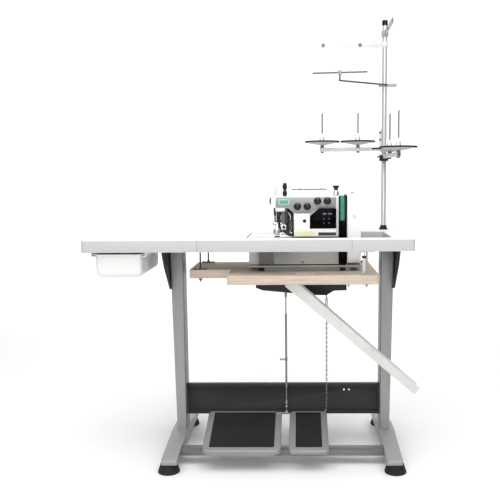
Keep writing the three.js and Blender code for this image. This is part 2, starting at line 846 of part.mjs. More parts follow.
function driveShaft() {
  const at = (x) => [x, SHAFT.y, SHAFT.z];
  return join(
    rod(SHAFT.radius, at(45), at(346), 20),
    rod(20, at(48), at(60), 20),
    rod(24, at(318), at(346), 20),
  );
}

piece('head_bed', headBed(), HEAD_GREY);
piece('cloth_plate', clothPlate(), STEEL);
piece('head_body', headBody(), WHITE_PAINT);
piece('looper_cover', looperCover(), WHITE_PAINT);
piece('display_panel', displayPanel(), GLOSS_BLACK);
piece('light_strip', lightStrip(), GLOSS_BLACK);
piece('motor_cover', motorCover(), WHITE_PAINT);
piece('motor_cover_button', coverButton(), STEEL).position.set(BUTTON.x, BUTTON.y, 0);
piece('top_housing', topHousing(), WHITE_PAINT);
const DIAL_PLACES = [[140, 903.5], [173.5, 903.5], [209, 922], [242.5, 922]];
DIAL_PLACES.forEach(([x, z], i) => {
  const dial = piece(`tension_dial_${i + 1}`, tensionDial(), BLACK_PLASTIC);
  dial.position.set(x, HEAD.front - 2 - GAP, z);
});
piece('pressure_knob', pressureKnob(), BLACK_PLASTIC).position.set(96, -80, HEAD.top + GAP);
piece('oil_sight', oilSight(), STEEL).position.set(276, -60, HEAD.top + GAP);
piece('needle_bar', needleBar(), STEEL);
piece('presser_foot', presserFoot(), STEEL);
piece('upper_knife', upperKnife(), STEEL);
piece('looper', looper(), STEEL);
piece('drive_shaft', driveShaft(), STEEL);

// ---------------------------------------------------------------- thread stand
// Everything here is built about the axis of the pole.
const standGroup = groupAt([POLE.x, POLE.y, 0]);

function poleLower() {
  const low = TABLE.top + GAP;
  const { radius, bore, joint } = POLE;
  return turned([
    [0, low],
    [17, low],
    [17, low + 5],
    [13, low + 6],
    [13, low + 16],
    [radius, low + 17],
    [radius, joint - GAP],
    [bore, joint - GAP],
    [bore, low + 8],
    [0, low + 8],
  ], 20);
}

function poleUpper() {
  const { radius, bore, joint, top } = POLE;
  const spigot = bore - 0.4;
  const capLow = top - 20;
  return turned([
    [0, 935],
    [spigot, 935],
    [spigot, joint],
    [radius, joint],
    [radius, capLow],
    [radius + 1.5, capLow],
    [radius + 1.5, top - 2],
    [radius - 1, top],
    [0, top],
  ], 20);
}

function ring(outer, [z0, z1]) {
  const inner = POLE.radius + GAP;
  return turned([[inner, z0], [outer, z0], [outer, z1], [inner, z1], [inner, z0]], 20);
}

function poleCut([z0, z1]) {
  return rod(POLE.radius + GAP, [0, 0, z0 - 1], [0, 0, z1 + 1], 20);
}

function spoolArm({ low, high, collar }, extras) {
  const height = [low, high];
  const bar = block([12, 246], [-7, 7], height);
  return join(ring(17, [low - collar, high]), cut(bar, poleCut(height)), ...extras);
}

function spoolDisc({ high, rim, pinTop }) {
  // A shallow dish on a nut, with a hub and a thin pin for the cone of thread.
  const bottom = high + GAP - rim;
  const pin = pinTop - rim;
  const profile = [
    [0, bottom], [8, bottom], [8, -15], [40, -10], [66.5, -3], [66.5, 0], [63, 0], [12, -10],
    [9.5, 8], [6, 27], [SPOOL_PIN, 29], [SPOOL_PIN, pin - 3], [0, pin],
  ];
  return turned(profile, 24);
}

function topGuide({ middle }, eyelets) {
  const height = [middle - 11, middle + 11];
  const bar = block([11, 244], [-1.3, 1.3], height);
  const holes = eyelets.map((x) => rod(4, [x, -9, middle], [x, 9, middle], 12));
  return join(ring(13, height), cut(bar, poleCut(height), ...holes));
}

function middleGuide() {
  // A collar plate, a bent wire that reaches forward, and a level bar that guides the threads.
  const { arm, bar, endX, endY, barHalf, wire } = MIDDLE_GUIDE;
  const end = new THREE.Vector2(endX - POLE.x, endY - POLE.y);
  const lean = 0.12;
  const hub = 6.5;
  const [dx, dy] = [Math.cos(lean) * barHalf, -Math.sin(lean) * barHalf];
  const plate = slab(rectangle([-22, 46], [-13, 13], 11), [arm - 5, arm + 5]);
  const bend = [[-14, -12, arm], [end.x, end.y, arm], [end.x, end.y, bar]];
  return join(
    cut(plate, poleCut([arm - 5, arm + 5])),
    rod(wire, bend[0], bend[1], 8),
    new THREE.SphereGeometry(wire, 8, 6).translate(...bend[1]),
    rod(wire, bend[1], bend[2], 8),
    rod(hub, [end.x, end.y, bar - 8], [end.x, end.y, bar + 8], 12),
    rod(wire, [end.x - dx, end.y - dy, bar], [end.x + dx, end.y + dy, bar], 8),
  );
}

function turnedGroup(angle) {
  const group = groupAt([0, 0, 0], standGroup);
  group.rotation.z = angle;
  return group;
}

piece('pole_lower', poleLower(), STEEL, standGroup);
piece('pole_upper', poleUpper(), STEEL, standGroup);

const clampStrap = block([6, 20], [-3, 3], [SPOOL_ARM_LEFT.high - 2, 1188]);
const leftArm = turnedGroup(SPOOL_ARM_LEFT.angle);
const strapCut = cut(clampStrap, poleCut([SPOOL_ARM_LEFT.low, 1190]));
piece('spool_arm_left', spoolArm(SPOOL_ARM_LEFT, [strapCut]), WHITE_PAINT, leftArm);
const frontArm = turnedGroup(SPOOL_ARM_FRONT.angle);
const clampHandle = rod(2.5, [0, -14, 1080], [0, -27, 1080], 8);
piece('spool_arm_front', spoolArm(SPOOL_ARM_FRONT, [clampHandle]), WHITE_PAINT, frontArm);

let discNumber = 1;
for (const [group, arm] of [[leftArm, SPOOL_ARM_LEFT], [frontArm, SPOOL_ARM_FRONT]]) {
  for (const distance of SPOOL_SEATS) {
    const disc = piece(`spool_disc_${discNumber}`, spoolDisc(arm), WHITE_PLASTIC, group);
    disc.position.set(distance, 0, arm.rim);
    discNumber += 1;
  }
}

const guideEyes = [93, 140, 233];
const topLeft = turnedGroup(TOP_GUIDE_LEFT.angle);
piece('top_guide_left', topGuide(TOP_GUIDE_LEFT, guideEyes), WHITE_PAINT, topLeft);
const topFront = turnedGroup(TOP_GUIDE_FRONT.angle);
piece('top_guide_front', topGuide(TOP_GUIDE_FRONT, guideEyes), WHITE_PAINT, topFront);
piece('middle_guide', middleGuide(), STEEL, standGroup);

export default machine;
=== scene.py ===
import json
import math

import bmesh
import bpy
from mathutils import Matrix, Vector

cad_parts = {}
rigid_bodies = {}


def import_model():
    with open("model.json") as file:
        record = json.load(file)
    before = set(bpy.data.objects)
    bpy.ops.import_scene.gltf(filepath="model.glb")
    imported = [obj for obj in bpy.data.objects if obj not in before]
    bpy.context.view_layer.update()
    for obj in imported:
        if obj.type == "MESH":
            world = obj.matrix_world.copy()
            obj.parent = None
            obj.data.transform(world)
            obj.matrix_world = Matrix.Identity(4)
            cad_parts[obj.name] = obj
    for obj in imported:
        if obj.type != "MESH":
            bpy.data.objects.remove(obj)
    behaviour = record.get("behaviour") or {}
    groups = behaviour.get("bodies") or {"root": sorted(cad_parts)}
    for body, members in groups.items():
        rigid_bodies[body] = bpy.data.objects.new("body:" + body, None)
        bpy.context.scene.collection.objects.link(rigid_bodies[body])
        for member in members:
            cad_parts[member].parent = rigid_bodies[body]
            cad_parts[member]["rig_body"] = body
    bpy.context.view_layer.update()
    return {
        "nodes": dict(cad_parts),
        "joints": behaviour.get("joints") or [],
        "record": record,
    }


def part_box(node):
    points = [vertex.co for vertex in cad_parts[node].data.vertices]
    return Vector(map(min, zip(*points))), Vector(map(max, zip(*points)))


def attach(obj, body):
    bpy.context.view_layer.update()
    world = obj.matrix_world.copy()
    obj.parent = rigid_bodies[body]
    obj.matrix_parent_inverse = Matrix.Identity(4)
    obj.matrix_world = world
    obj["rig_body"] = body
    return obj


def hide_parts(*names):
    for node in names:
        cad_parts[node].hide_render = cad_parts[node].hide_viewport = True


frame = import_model()
MM = 0.001
UP = Vector((0, 0, 1))
FORWARD = (0, -1, 0)
scene = bpy.context.scene


class Box:
    """A CAD node's place at rest, in millimetres."""

    def __init__(self, node):
        low, high = (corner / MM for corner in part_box(node))
        self.left, self.front, self.low = low
        self.right, self.rear, self.high = high
        self.x, self.y, self.z = (low + high) / 2


TABLE = Box("table_top")
HEAD = Box("head_body")
BED = Box("head_bed")
BOARD = Box("mounting_board")
MOTOR = Box("motor_cover")


# ---------------------------------------------------------------- camera and light
def make_camera():
    """The viewer stands in front of the machine, a little above the table."""
    place = Vector((TABLE.x + 171.3, TABLE.front - 2385.1, TABLE.high + 193.1))
    yaw, pitch, roll = 0.022, 0.1177, -0.0076
    ahead = Vector((
        -math.sin(yaw) * math.cos(pitch), math.cos(yaw) * math.cos(pitch), -math.sin(pitch),
    ))
    right = Vector((math.cos(yaw), math.sin(yaw), 0))
    up = right.cross(ahead)
    tilted_right = right * math.cos(roll) + up * math.sin(roll)
    tilted_up = up * math.cos(roll) - right * math.sin(roll)
    turn = Matrix((tilted_right, tilted_up, -ahead)).transposed()
    data = bpy.data.cameras.new("camera")
    data.lens = 52.75
    data.shift_x = -0.0671
    data.shift_y = 0.0337
    data.clip_end = 50
    camera = bpy.data.objects.new("camera", data)
    camera.matrix_world = Matrix.Translation(place * MM) @ turn.to_4x4()
    scene.collection.objects.link(camera)
    scene.camera = camera


def area_light(name, place, target, size, power):
    data = bpy.data.lights.new(name, "AREA")
    data.shape = "RECTANGLE"
    data.size, data.size_y = size
    data.energy = power
    light = bpy.data.objects.new(name, data)
    light.location = place
    light.rotation_mode = "QUATERNION"
    light.rotation_quaternion = (Vector(target) - Vector(place)).to_track_quat("-Z", "Y")
    scene.collection.objects.link(light)


def make_studio():
    """A pale sweep that runs up behind the machine, with large soft lights over it."""
    bm = bmesh.new()
    reach, back, bend, height = 12.0, 6.4, 1.2, 9.0
    profile = [(-9.0, 0.0), (back - bend, 0.0)]
    steps = 12
    for k in range(1, steps + 1):
        angle = k / steps * math.pi / 2
        profile.append((back - bend + bend * math.sin(angle), bend - bend * math.cos(angle)))
    profile.append((back, height))
    rows = [[bm.verts.new((x, y, z)) for y, z in profile] for x in (-reach, reach)]
    for k in range(len(profile) - 1):
        bm.faces.new((rows[0][k], rows[1][k], rows[1][k + 1], rows[0][k + 1]))
    mesh = bpy.data.meshes.new("floor")
    bm.to_mesh(mesh)
    bm.free()
    mesh.shade_smooth()
    floor = bpy.data.objects.new("floor", mesh)
    scene.collection.objects.link(floor)
    mesh.materials.append(surface("studio_paper", (0.93, 0.93, 0.93), 0.9, blotch_amount=0.004))
    world = bpy.data.worlds.new("studio")
    world.use_nodes = True
    background = world.node_tree.nodes["Background"]
    background.inputs["Color"].default_value = (1, 1, 1, 1)
    background.inputs["Strength"].default_value = 0.29
    scene.world = world
    scene.view_settings.view_transform = "Standard"
    area_light("over", (0.0, -0.3, 3.6), (0, 0, 0.6), (3.6, 3.0), 98)
    area_light("front", (0.1, -4.2, 1.7), (0.1, 0, 0.7), (2.4, 2.0), 44)
    area_light("sweep_left", (-3.4, 3.4, 3.0), (-1.5, 6.4, 1.4), (1.8, 1.8), 105)
    area_light("sweep_right", (3.4, 3.4, 3.0), (1.5, 6.4, 1.4), (1.8, 1.8), 105)
    area_light("floor_front", (0.0, -2.2, 2.8), (0, -1.2, 0), (5.0, 1.6), 62)


# ---------------------------------------------------------------- materials
def surface(name, colour, roughness, metallic=0.0, grain=900, depth=0.1, blotch=9,
            blotch_amount=0.04, stretch=(1, 1, 1), coat=0.0, dust=0.0, rough_change=0.08,
            shine=0.5):
    """A painted, moulded or metal skin: mottled colour, uneven gloss and a fine raised grain."""
    material = bpy.data.materials.new(name)
    material.use_nodes = True
    nodes, links = material.node_tree.nodes, material.node_tree.links
    shader = nodes["Principled BSDF"]
    shader.inputs["Metallic"].default_value = metallic
    shader.inputs["Specular IOR Level"].default_value = shine
    shader.inputs["Coat Weight"].default_value = coat
    shader.inputs["Coat Roughness"].default_value = 0.12
    place = nodes.new("ShaderNodeTexCoord")
    mapping = nodes.new("ShaderNodeMapping")
    mapping.inputs["Scale"].default_value = stretch
    links.new(place.outputs["Object"], mapping.inputs["Vector"])

    def noise(scale, detail):
        made = nodes.new("ShaderNodeTexNoise")
        made.inputs["Scale"].default_value = scale
        made.inputs["Detail"].default_value = detail
        links.new(mapping.outputs["Vector"], made.inputs["Vector"])
        return made.outputs["Fac"]

    blotches = noise(blotch, 5)
    ramp = nodes.new("ShaderNodeValToRGB")
    ramp.color_ramp.elements[0].position = 0.3
    ramp.color_ramp.elements[1].position = 0.7
    for element, shift in zip(ramp.color_ramp.elements, (-blotch_amount, blotch_amount)):
        element.color = (*(min(1, c * (1 + shift)) for c in colour), 1)
    links.new(blotches, ramp.inputs["Fac"])
    colour_out = ramp.outputs["Color"]
    if dust:
        facing = nodes.new("ShaderNodeNewGeometry")
        split = nodes.new("ShaderNodeSeparateXYZ")
        links.new(facing.outputs["Normal"], split.inputs["Vector"])
        up_only = nodes.new("ShaderNodeMapRange")
        up_only.inputs["From Min"].default_value = 0.3
        up_only.inputs["To Max"].default_value = dust
        links.new(split.outputs["Z"], up_only.inputs["Value"])
        mix = nodes.new("ShaderNodeMix")
        mix.data_type = "RGBA"
        mix.inputs["B"].default_value = (0.55, 0.54, 0.52, 1)
        links.new(up_only.outputs["Result"], mix.inputs["Factor"])
        links.new(colour_out, mix.inputs["A"])
        colour_out = mix.outputs["Result"]
    links.new(colour_out, shader.inputs["Base Color"])
    gloss = nodes.new("ShaderNodeMapRange")
    gloss.inputs["To Min"].default_value = max(0.02, roughness - rough_change)
    gloss.inputs["To Max"].default_value = min(1, roughness + rough_change)
    links.new(noise(blotch * 4, 3), gloss.inputs["Value"])
    links.new(gloss.outputs["Result"], shader.inputs["Roughness"])
    bump = nodes.new("ShaderNodeBump")
    bump.inputs["Strength"].default_value = depth
    bump.inputs["Distance"].default_value = 0.0004
    links.new(noise(grain, 2), bump.inputs["Height"])
    links.new(bump.outputs["Normal"], shader.inputs["Normal"])
    return material


def layered_wood(name, light, dark, layers):
    """Wood with grain along X, and with the plies showing as level lines on its edges."""
    material = surface(name, light, 0.6, stretch=(1.5, 26, 60), blotch=7, depth=0.25, grain=90)
    nodes, links = material.node_tree.nodes, material.node_tree.links
    ramp = next(n for n in nodes if n.type == "VALTORGB")
    ramp.color_ramp.elements[0].color = (*dark, 1)
    ramp.color_ramp.elements[1].color = (*light, 1)
    place = nodes.new("ShaderNodeTexCoord")
    bands = nodes.new("ShaderNodeTexWave")
    bands.bands_direction = "Z"
    bands.inputs["Scale"].default_value = layers
    bands.inputs["Distortion"].default_value = 0.6
    links.new(place.outputs["Object"], bands.inputs["Vector"])
    mix = nodes.new("ShaderNodeMix")
    mix.data_type = "RGBA"
    mix.blend_type = "MULTIPLY"
    mix.inputs["Factor"].default_value = 0.16
    links.new(ramp.outputs["Color"], mix.inputs["A"])
    links.new(bands.outputs["Color"], mix.inputs["B"])
    links.new(mix.outputs["Result"], nodes["Principled BSDF"].inputs["Base Color"])
    return material


def glowing(name, colour, strength):
    material = surface(name, colour, 0.25, blotch_amount=0.03, depth=0.02)
    shader = material.node_tree.nodes["Principled BSDF"]
    shader.inputs["Emission Color"].default_value = (*colour, 1)
    shader.inputs["Emission Strength"].default_value = strength
    return material


LAMINATE = surface("white_laminate", (0.84, 0.84, 0.83), 0.42, grain=1500, depth=0.06,
                   blotch_amount=0.012)
# The side faces of the table top are painted grey, darker than the white top: painted shade on the
# white edge.
EDGE_BAND_SHADE = surface("edge_band_painted_shade", (0.50, 0.504, 0.50), 0.5, stretch=(1, 1, 30), blotch=3,
                    blotch_amount=0.02, grain=300, depth=0.05)
POWDER = {"metallic": 0.1, "grain": 1400, "depth": 0.22}
GREY_PAINT = surface("grey_powder_coat", (0.30, 0.305, 0.30), 0.42, blotch_amount=0.05, dust=0.14,
                     **POWDER)
DARK_PAINT = surface("dark_powder_coat", (0.03, 0.031, 0.03), 0.45, blotch_amount=0.06, shine=0.2,
                     **POWDER)
# Mid grey coat of the pedal bar; the same darker coat is also painted on the posts' inner faces and
# on the left of the bed as painted shade.
BAR_COAT_AND_SHADE = surface("bar_powder_coat_and_painted_shade", (0.17, 0.172, 0.17), 0.42, blotch_amount=0.06, **POWDER)
PEDAL_PAINT = surface("pedal_paint", (0.27, 0.27, 0.265), 0.4, metallic=0.15, grain=1100,
                      depth=0.25, blotch_amount=0.05, dust=0.06)
WHITE_PAINT = surface("white_enamel", (0.80, 0.80, 0.78), 0.28, grain=700, depth=0.05, coat=0.4,
                      blotch_amount=0.012)
COVER_WHITE = surface("white_cover", (0.84, 0.84, 0.825), 0.35, grain=1300, depth=0.08,
                      blotch_amount=0.012)
ARM_WHITE = surface("arm_white", (0.72, 0.725, 0.715), 0.4, grain=900, depth=0.08,
                    blotch_amount=0.03)
FASCIA_GREY = surface("fascia_grey", (0.31, 0.317, 0.31), 0.34, metallic=0.45, grain=1500,
                      depth=0.1, blotch_amount=0.03)
CAST_GREY = surface("cast_grey", (0.36, 0.362, 0.335), 0.5, metallic=0.1, grain=500, depth=0.3,
                    blotch_amount=0.06)
WHITE_PLASTIC = surface("white_plastic", (0.78, 0.785, 0.77), 0.4, grain=1600, depth=0.08,
                        blotch_amount=0.015)
# The chute is painted greyer than its white plastic: painted shade.
CHUTE_SHADED_WHITE = surface("chute_plastic_painted_shade", (0.62, 0.625, 0.60), 0.45, grain=1200, depth=0.1,
                      blotch_amount=0.05, blotch=14)
# The spool dishes are painted greyer than their white plastic: painted shade.
DISH_SHADED_GREY = surface("dish_painted_shade_grey", (0.42, 0.425, 0.40), 0.5, grain=900, depth=0.1,
                    blotch_amount=0.05)
BLACK_PLASTIC = surface("black_plastic", (0.004, 0.004, 0.0045), 0.34, grain=1800, depth=0.2,
                        blotch_amount=0.2, dust=0.015, shine=0.35)
RUBBER = surface("black_rubber", (0.012, 0.012, 0.013), 0.7, grain=1200, depth=0.35,
                 blotch_amount=0.25, dust=0.02, shine=0.3)
GLOSS_BLACK = surface("gloss_black", (0.001, 0.001, 0.001), 0.16, grain=300, depth=0.0,
                      rough_change=0.02, blotch_amount=0.1, shine=0.04)
BRUSHED = {"stretch": (30, 30, 1), "blotch": 20, "grain": 60, "depth": 0.08, "blotch_amount": 0.05}
STEEL = surface("brushed_steel", (0.50, 0.51, 0.51), 0.3, metallic=1.0, **BRUSHED)
PIN_STEEL = surface("pin_steel", (0.22, 0.22, 0.215), 0.32, metallic=0.8, **BRUSHED)
POLISHED = surface("polished_steel", (0.66, 0.66, 0.65), 0.14, metallic=1.0, grain=400,
                   depth=0.03, blotch_amount=0.05, rough_change=0.05)
DARK_STEEL = surface("dark_steel", (0.10, 0.10, 0.10), 0.35, metallic=0.9, grain=500, depth=0.15,
                     blotch_amount=0.15)
PALE_STEEL = surface("pale_steel", (0.66, 0.665, 0.665), 0.33, metallic=0.55, stretch=(30, 30, 1),
                     blotch=14, grain=80, depth=0.06, blotch_amount=0.05)
MECHANISM_DARK = surface("mechanism_dark", (0.035, 0.035, 0.033), 0.4, metallic=0.3, grain=500,
                         depth=0.2, blotch_amount=0.3)
MECHANISM_GREY = surface("mechanism_grey", (0.15, 0.152, 0.15), 0.42, metallic=0.3, grain=500,
                         depth=0.2, blotch_amount=0.12)
WIRE_GREY = surface("wire_grey", (0.12, 0.12, 0.12), 0.4, metallic=0.5, grain=600, depth=0.1,
                    blotch_amount=0.1)
GUIDE_GREY = surface("guide_grey", (0.36, 0.36, 0.355), 0.42, grain=700, depth=0.1,
                     blotch_amount=0.05)
BRASS = surface("brass", (0.50, 0.42, 0.20), 0.3, metallic=0.7, grain=400, depth=0.05,
                blotch_amount=0.1)
TEAL = glowing("teal_lens", (0.028, 0.21, 0.155), 0.05)
TEAL_EDGE = surface("teal_edge", (0.01, 0.07, 0.055), 0.3, blotch_amount=0.1, shine=0.2)
TEAL_PLATE = surface("teal_plate", (0.10, 0.34, 0.27), 0.3, blotch_amount=0.04)
MINT_PLATE = surface("mint_plate", (0.36, 0.56, 0.51), 0.3, blotch_amount=0.03)
YELLOW_LABEL = surface("yellow_label", (0.82, 0.79, 0.46), 0.5, blotch_amount=0.05)
DARK_LABEL = surface("dark_label", (0.035, 0.035, 0.035), 0.4, blotch_amount=0.15, shine=0.3)
ICON = glowing("icon_glow", (0.26, 0.25, 0.46), 0.4)
ICON_DIM = glowing("icon_dim", (0.08, 0.08, 0.12), 0.12)
BOARD_WOOD = layered_wood("board_wood", (0.68, 0.58, 0.48), (0.50, 0.40, 0.32), 120)


# ---------------------------------------------------------------- shapes
def rounded(points, radius, steps=4, closed=False):
    """The same outline with each corner turned into a small curve."""
    out = []
    for i, point in enumerate(points):
        if not closed and i in (0, len(points) - 1):
            out.append(tuple(point))
            continue
        p = Vector(point)
        before, after = Vector(points[i - 1]) - p, Vector(points[(i + 1) % len(points)]) - p
        r = min(radius, before.length * 0.45, after.length * 0.45)
        start, end = p + before.normalized() * r, p + after.normalized() * r
        for k in range(steps + 1):
            t = k / steps
            q = start * (1 - t) ** 2 + p * 2 * t * (1 - t) + end * t * t
            out.append((q.x, q.y))
    return out


def rectangle(x0, x1, y0, y1, radius, steps=5):
    return rounded([(x0, y0), (x1, y0), (x1, y1), (x0, y1)], radius, steps, closed=True)


def add_loft(bm, rings, closed=False):
    """Joins rings of points, in millimetres, into one skin with a cap at each end."""
    rows = [[bm.verts.new(Vector(p) * MM) for p in ring] for ring in rings]
    count = len(rows[0])
    for a, b in zip(rows, rows[1:] + (rows[:1] if closed else [])):
        for i in range(count):
            j = (i + 1) % count
            bm.faces.new((a[i], a[j], b[j], b[i]))
    if not closed:
        bm.faces.new(rows[0])
        bm.faces.new(rows[-1])


def add_lathe(bm, profile, centre, direction=(0, 0, 1), segments=48, closed=False):
    """Turns a profile of (radius, height) about a line through centre."""
    turn = UP.rotation_difference(Vector(direction))
    rings = []
    for radius, height in profile:
        ring = []
        for k in range(segments):
            angle = 2 * math.pi * k / segments
            spoke = Vector((radius * math.cos(angle), radius * math.sin(angle), height))
            ring.append(Vector(centre) + turn @ spoke)
        rings.append(ring)
    add_loft(bm, rings, closed)


PLANES = {
    "xy": lambda a, b, t: (a, b, t),
    "xz": lambda a, b, t: (a, t, b),
    "yz": lambda a, b, t: (t, a, b),
}


def round_edges(bm, edges, width, steps, **options):
    bmesh.ops.bevel(bm, geom=edges, offset=width * MM, segments=steps, profile=0.5,
                    affect="EDGES", **options)


def add_prism(bm, outline, plane, low, high, edge=0.0, steps=2):
    """Gives an outline a thickness, with its two rims rounded."""
    place = PLANES[plane]
    rims = [[bm.verts.new(Vector(place(a, b, t)) * MM) for a, b in outline] for t in (low, high)]
    count = len(outline)
    ends = [bm.faces.new(rims[0]), bm.faces.new(rims[1])]
    for i in range(count):
        j = (i + 1) % count
        bm.faces.new((rims[0][i], rims[0][j], rims[1][j], rims[1][i]))
    if edge:
        round_edges(bm, [e for face in ends for e in face.edges], edge, steps)


def add_block(bm, x, y, z, edge=0.6, steps=2):
    """A block between two x, two y and two z, with rounded edges."""
    low, high = Vector((x[0], y[0], z[0])) * MM, Vector((x[1], y[1], z[1])) * MM
    size = high - low
    place = Matrix.Translation((low + high) / 2) @ Matrix.Diagonal((*size, 1))
    made = bmesh.ops.create_cube(bm, size=1.0, matrix=place)
    if edge:
        round_edges(bm, list({e for v in made["verts"] for e in v.link_edges}), edge, steps)


def add_rod(bm, radius, start, end, edge=0.4, segments=24):
    """A round bar with softened ends."""
    start, end = Vector(start), Vector(end)
    length = (end - start).length
    edge = min(edge, radius * 0.4, length * 0.4)
    profile = [(radius - edge, 0), (radius, edge), (radius, length - edge), (radius - edge, length)]
    add_lathe(bm, profile, start, end - start, segments)


def add_tube(bm, points, radius, sides=12):
    """A round section carried along a path of points."""
    path = [Vector(p) for p in points]
    side = (path[1] - path[0]).orthogonal().normalized()
    rings = []
    for i, p in enumerate(path):
        ahead = (path[min(i + 1, len(path) - 1)] - path[max(i - 1, 0)]).normalized()
        side = (side - ahead * side.dot(ahead)).normalized()
        other = ahead.cross(side)
        rings.append([
            p + (side * math.cos(a) + other * math.sin(a)) * radius
            for a in (2 * math.pi * k / sides for k in range(sides))
        ])
    add_loft(bm, rings)


def add_placed(bm, place, build):
    """Builds something in its own upright frame and then takes it to where it stands."""
    before = set(bm.verts)
    build()
    for v in set(bm.verts) - before:
        v.co = place(v.co / MM) * MM


def smooth_path(points, steps=6):
    """A curve through the points."""
    points = [Vector(p) for p in points]
    padded = [points[0] * 2 - points[1], *points, points[-1] * 2 - points[-2]]
    out = []
    for a, b, c, d in zip(padded, padded[1:], padded[2:], padded[3:]):
        for k in range(steps):
            t = k / steps
            out.append(0.5 * (2 * b + (c - a) * t + (2 * a - 5 * b + 4 * c - d) * t * t
                              + (3 * b - a - 3 * c + d) * t ** 3))
    return [*out, points[-1]]


def add_screw(bm, place, direction, radius=3.5, height=2.2):
    """A round screw head with a hexagonal socket."""
    add_lathe(bm, [(radius * 0.96, 0), (radius, 0.4), (radius, height - 0.6),
                   (radius - 0.6, height), (radius * 0.5, height), (radius * 0.48, height - 1.2)],
              place, direction, 18)


def add_nut(bm, place, direction, radius, height):
    """A hexagonal nut with chamfered corners."""
    add_lathe(bm, [(radius * 0.9, 0), (radius, height * 0.14), (radius, height * 0.86),
                   (radius * 0.9, height)], place, direction, 6)


# ---------------------------------------------------------------- putting pieces in the scene
def detail(name, bm, material, body, slot, replaces=(), sharp=38, paint=()):
    """Makes the mesh a piece that rides on a body. paint lists (test, material) for its faces."""
    bmesh.ops.recalc_face_normals(bm, faces=bm.faces)
    mesh = bpy.data.meshes.new(name)
    mesh.materials.append(material)
    for number, (test, extra) in enumerate(paint, 1):
        mesh.materials.append(extra)
        for face in bm.faces:
            if test(face):
                face.material_index = number
    bm.to_mesh(mesh)
    bm.free()
    mesh.shade_smooth()
    mesh.set_sharp_from_angle(angle=math.radians(sharp))
    piece = bpy.data.objects.new(name, mesh)
    scene.collection.objects.link(piece)
    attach(piece, body)
    if replaces:
        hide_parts(*replaces)


def piece_of(node, bm, material, **options):
    """A piece that stands for a CAD node and takes its body."""
    body = frame["nodes"][node]["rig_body"]
    rows = frame["record"]["subparts"]
    slot = next(row["material_slot"] for row in rows if row["node"] == node)
    detail(f"{node}_skin", bm, material, body, slot, replaces=[node], **options)


def refine(node, material, width, segments=2, keep=None, paint=(), fold=25):
    """Stands a copy of a CAD node in its place, with its sharp edges rounded."""
    bm = bmesh.new()
    bm.from_mesh(frame["nodes"][node].data)
    bmesh.ops.remove_doubles(bm, verts=bm.verts, dist=2e-5)
    bmesh.ops.dissolve_limit(bm, angle_limit=math.radians(0.8), verts=bm.verts, edges=bm.edges)
    edges = [
        e for e in bm.edges
        if len(e.link_faces) == 2 and e.calc_face_angle(0) > math.radians(fold)
        and (keep is None or keep(e))
    ]
    if width:
        round_edges(bm, edges, width, segments, clamp_overlap=True)
    piece_of(node, bm, material, paint=paint)


def plate_detail(name, x, z, corner, y, edge, material, body, slot):
    """A thin upright plate that faces forward."""
    bm = bmesh.new()
    add_prism(bm, rectangle(*x, *z, corner), "xz", *y, edge)
    detail(name, bm, material, body, slot)


def lathe_detail(name, profile, centre, direction, segments, material, body, slot, closed=False):
    bm = bmesh.new()
    add_lathe(bm, profile, centre, direction, segments, closed)
    detail(name, bm, material, body, slot)


def block_detail(name, material, body, slot, blocks):
    bm = bmesh.new()
    for block in blocks:
        add_block(bm, *block)
    detail(name, bm, material, body, slot)


# ---------------------------------------------------------------- table
def build_table():
    def side(face):
        return abs(face.normal.z) < 0.4

    for node in ("table_top", "table_front_insert"):
        refine(node, LAMINATE, 1.2, 3, paint=[(side, EDGE_BAND_SHADE)])


# ---------------------------------------------------------------- stand
def build_posts():
    for word in ("left", "right"):
        post = Box(f"leg_post_{word}")
        outward = -1 if word == "left" else 1
        inner, wide = (post.right, post.left) if outward < 0 else (post.left, post.right)
        narrow = wide - outward * 12
        bm = bmesh.new()
        radius = 7
        rings = []
        for z, outer in ((post.low, narrow), (post.high, wide)):
            ring = rectangle(min(inner, outer), max(inner, outer), post.front, post.rear, radius)
            rings.append([(x, y, z) for x, y in ring])
        add_loft(bm, rings)
        # The faces between the posts have a darker coat, which stands for the shade there.
        piece_of(f"leg_post_{word}", bm, GREY_PAINT, paint=[
            (lambda face, side=outward: face.normal.x * side < -0.7, BAR_COAT_AND_SHADE)])


def build_feet():
    for word in ("left", "right"):
        foot = Box(f"foot_{word}")
        crown_half, end_high = 44, 51
        outline = rounded([
            (foot.front, foot.low), (foot.rear, foot.low), (foot.rear, end_high),
            (crown_half, foot.high), (-crown_half, foot.high), (foot.front, end_high),
        ], 10, 5, closed=True)
        bm = bmesh.new()
        add_prism(bm, outline, "yz", foot.left, foot.right, 6, 4)
        piece_of(f"foot_{word}", bm, GREY_PAINT)
    for node in ("pad_front_left", "pad_rear_left", "pad_front_right", "pad_rear_right"):
        pad = Box(node)
        radius = (pad.right - pad.left) / 2
        profile = rounded([
            (radius - 9, 0.3), (radius - 2, 0), (radius, 2), (radius, 7.4), (radius - 1, 8.6),
            (radius - 2.5, 9.2), (radius - 2.5, 14.6), (radius - 4.6, 16), (radius - 5, 17),
            (radius - 5, 21.6), (radius - 7, 23), (radius - 7.5, 24), (radius - 7.5, 30),
            (radius - 9, pad.high),
        ], 0.7, 3)
        bm = bmesh.new()
        add_lathe(bm, profile, (pad.x, pad.y, 0), segments=72)
        piece_of(node, bm, RUBBER)


def build_stand():
    build_posts()
    build_feet()
    for node in ("table_arm_left", "table_arm_right"):
        refine(node, DARK_PAINT, 0.8, 2)
    refine("crossbeam", DARK_PAINT, 0.9, 2)
    refine("pedal_bar", BAR_COAT_AND_SHADE, 0.9, 2)
    bm = bmesh.new()
    for side, word in ((-1, "left"), (1, "right")):
        arm, post = Box(f"table_arm_{word}"), Box(f"leg_post_{word}")
        outer = arm.left if side < 0 else arm.right
        for y in (-22, 22):
            for z in (arm.low + 25, arm.low + 75):
                add_screw(bm, (outer, y, z), (side, 0, 0), 5, 3)
        for z in (post.low + 70, post.low + 155):
            add_screw(bm, (outer - side * 13, 0, z), (side, 0, 0), 5, 3)
    detail("stand_screws", bm, STEEL, "stand", "steel")


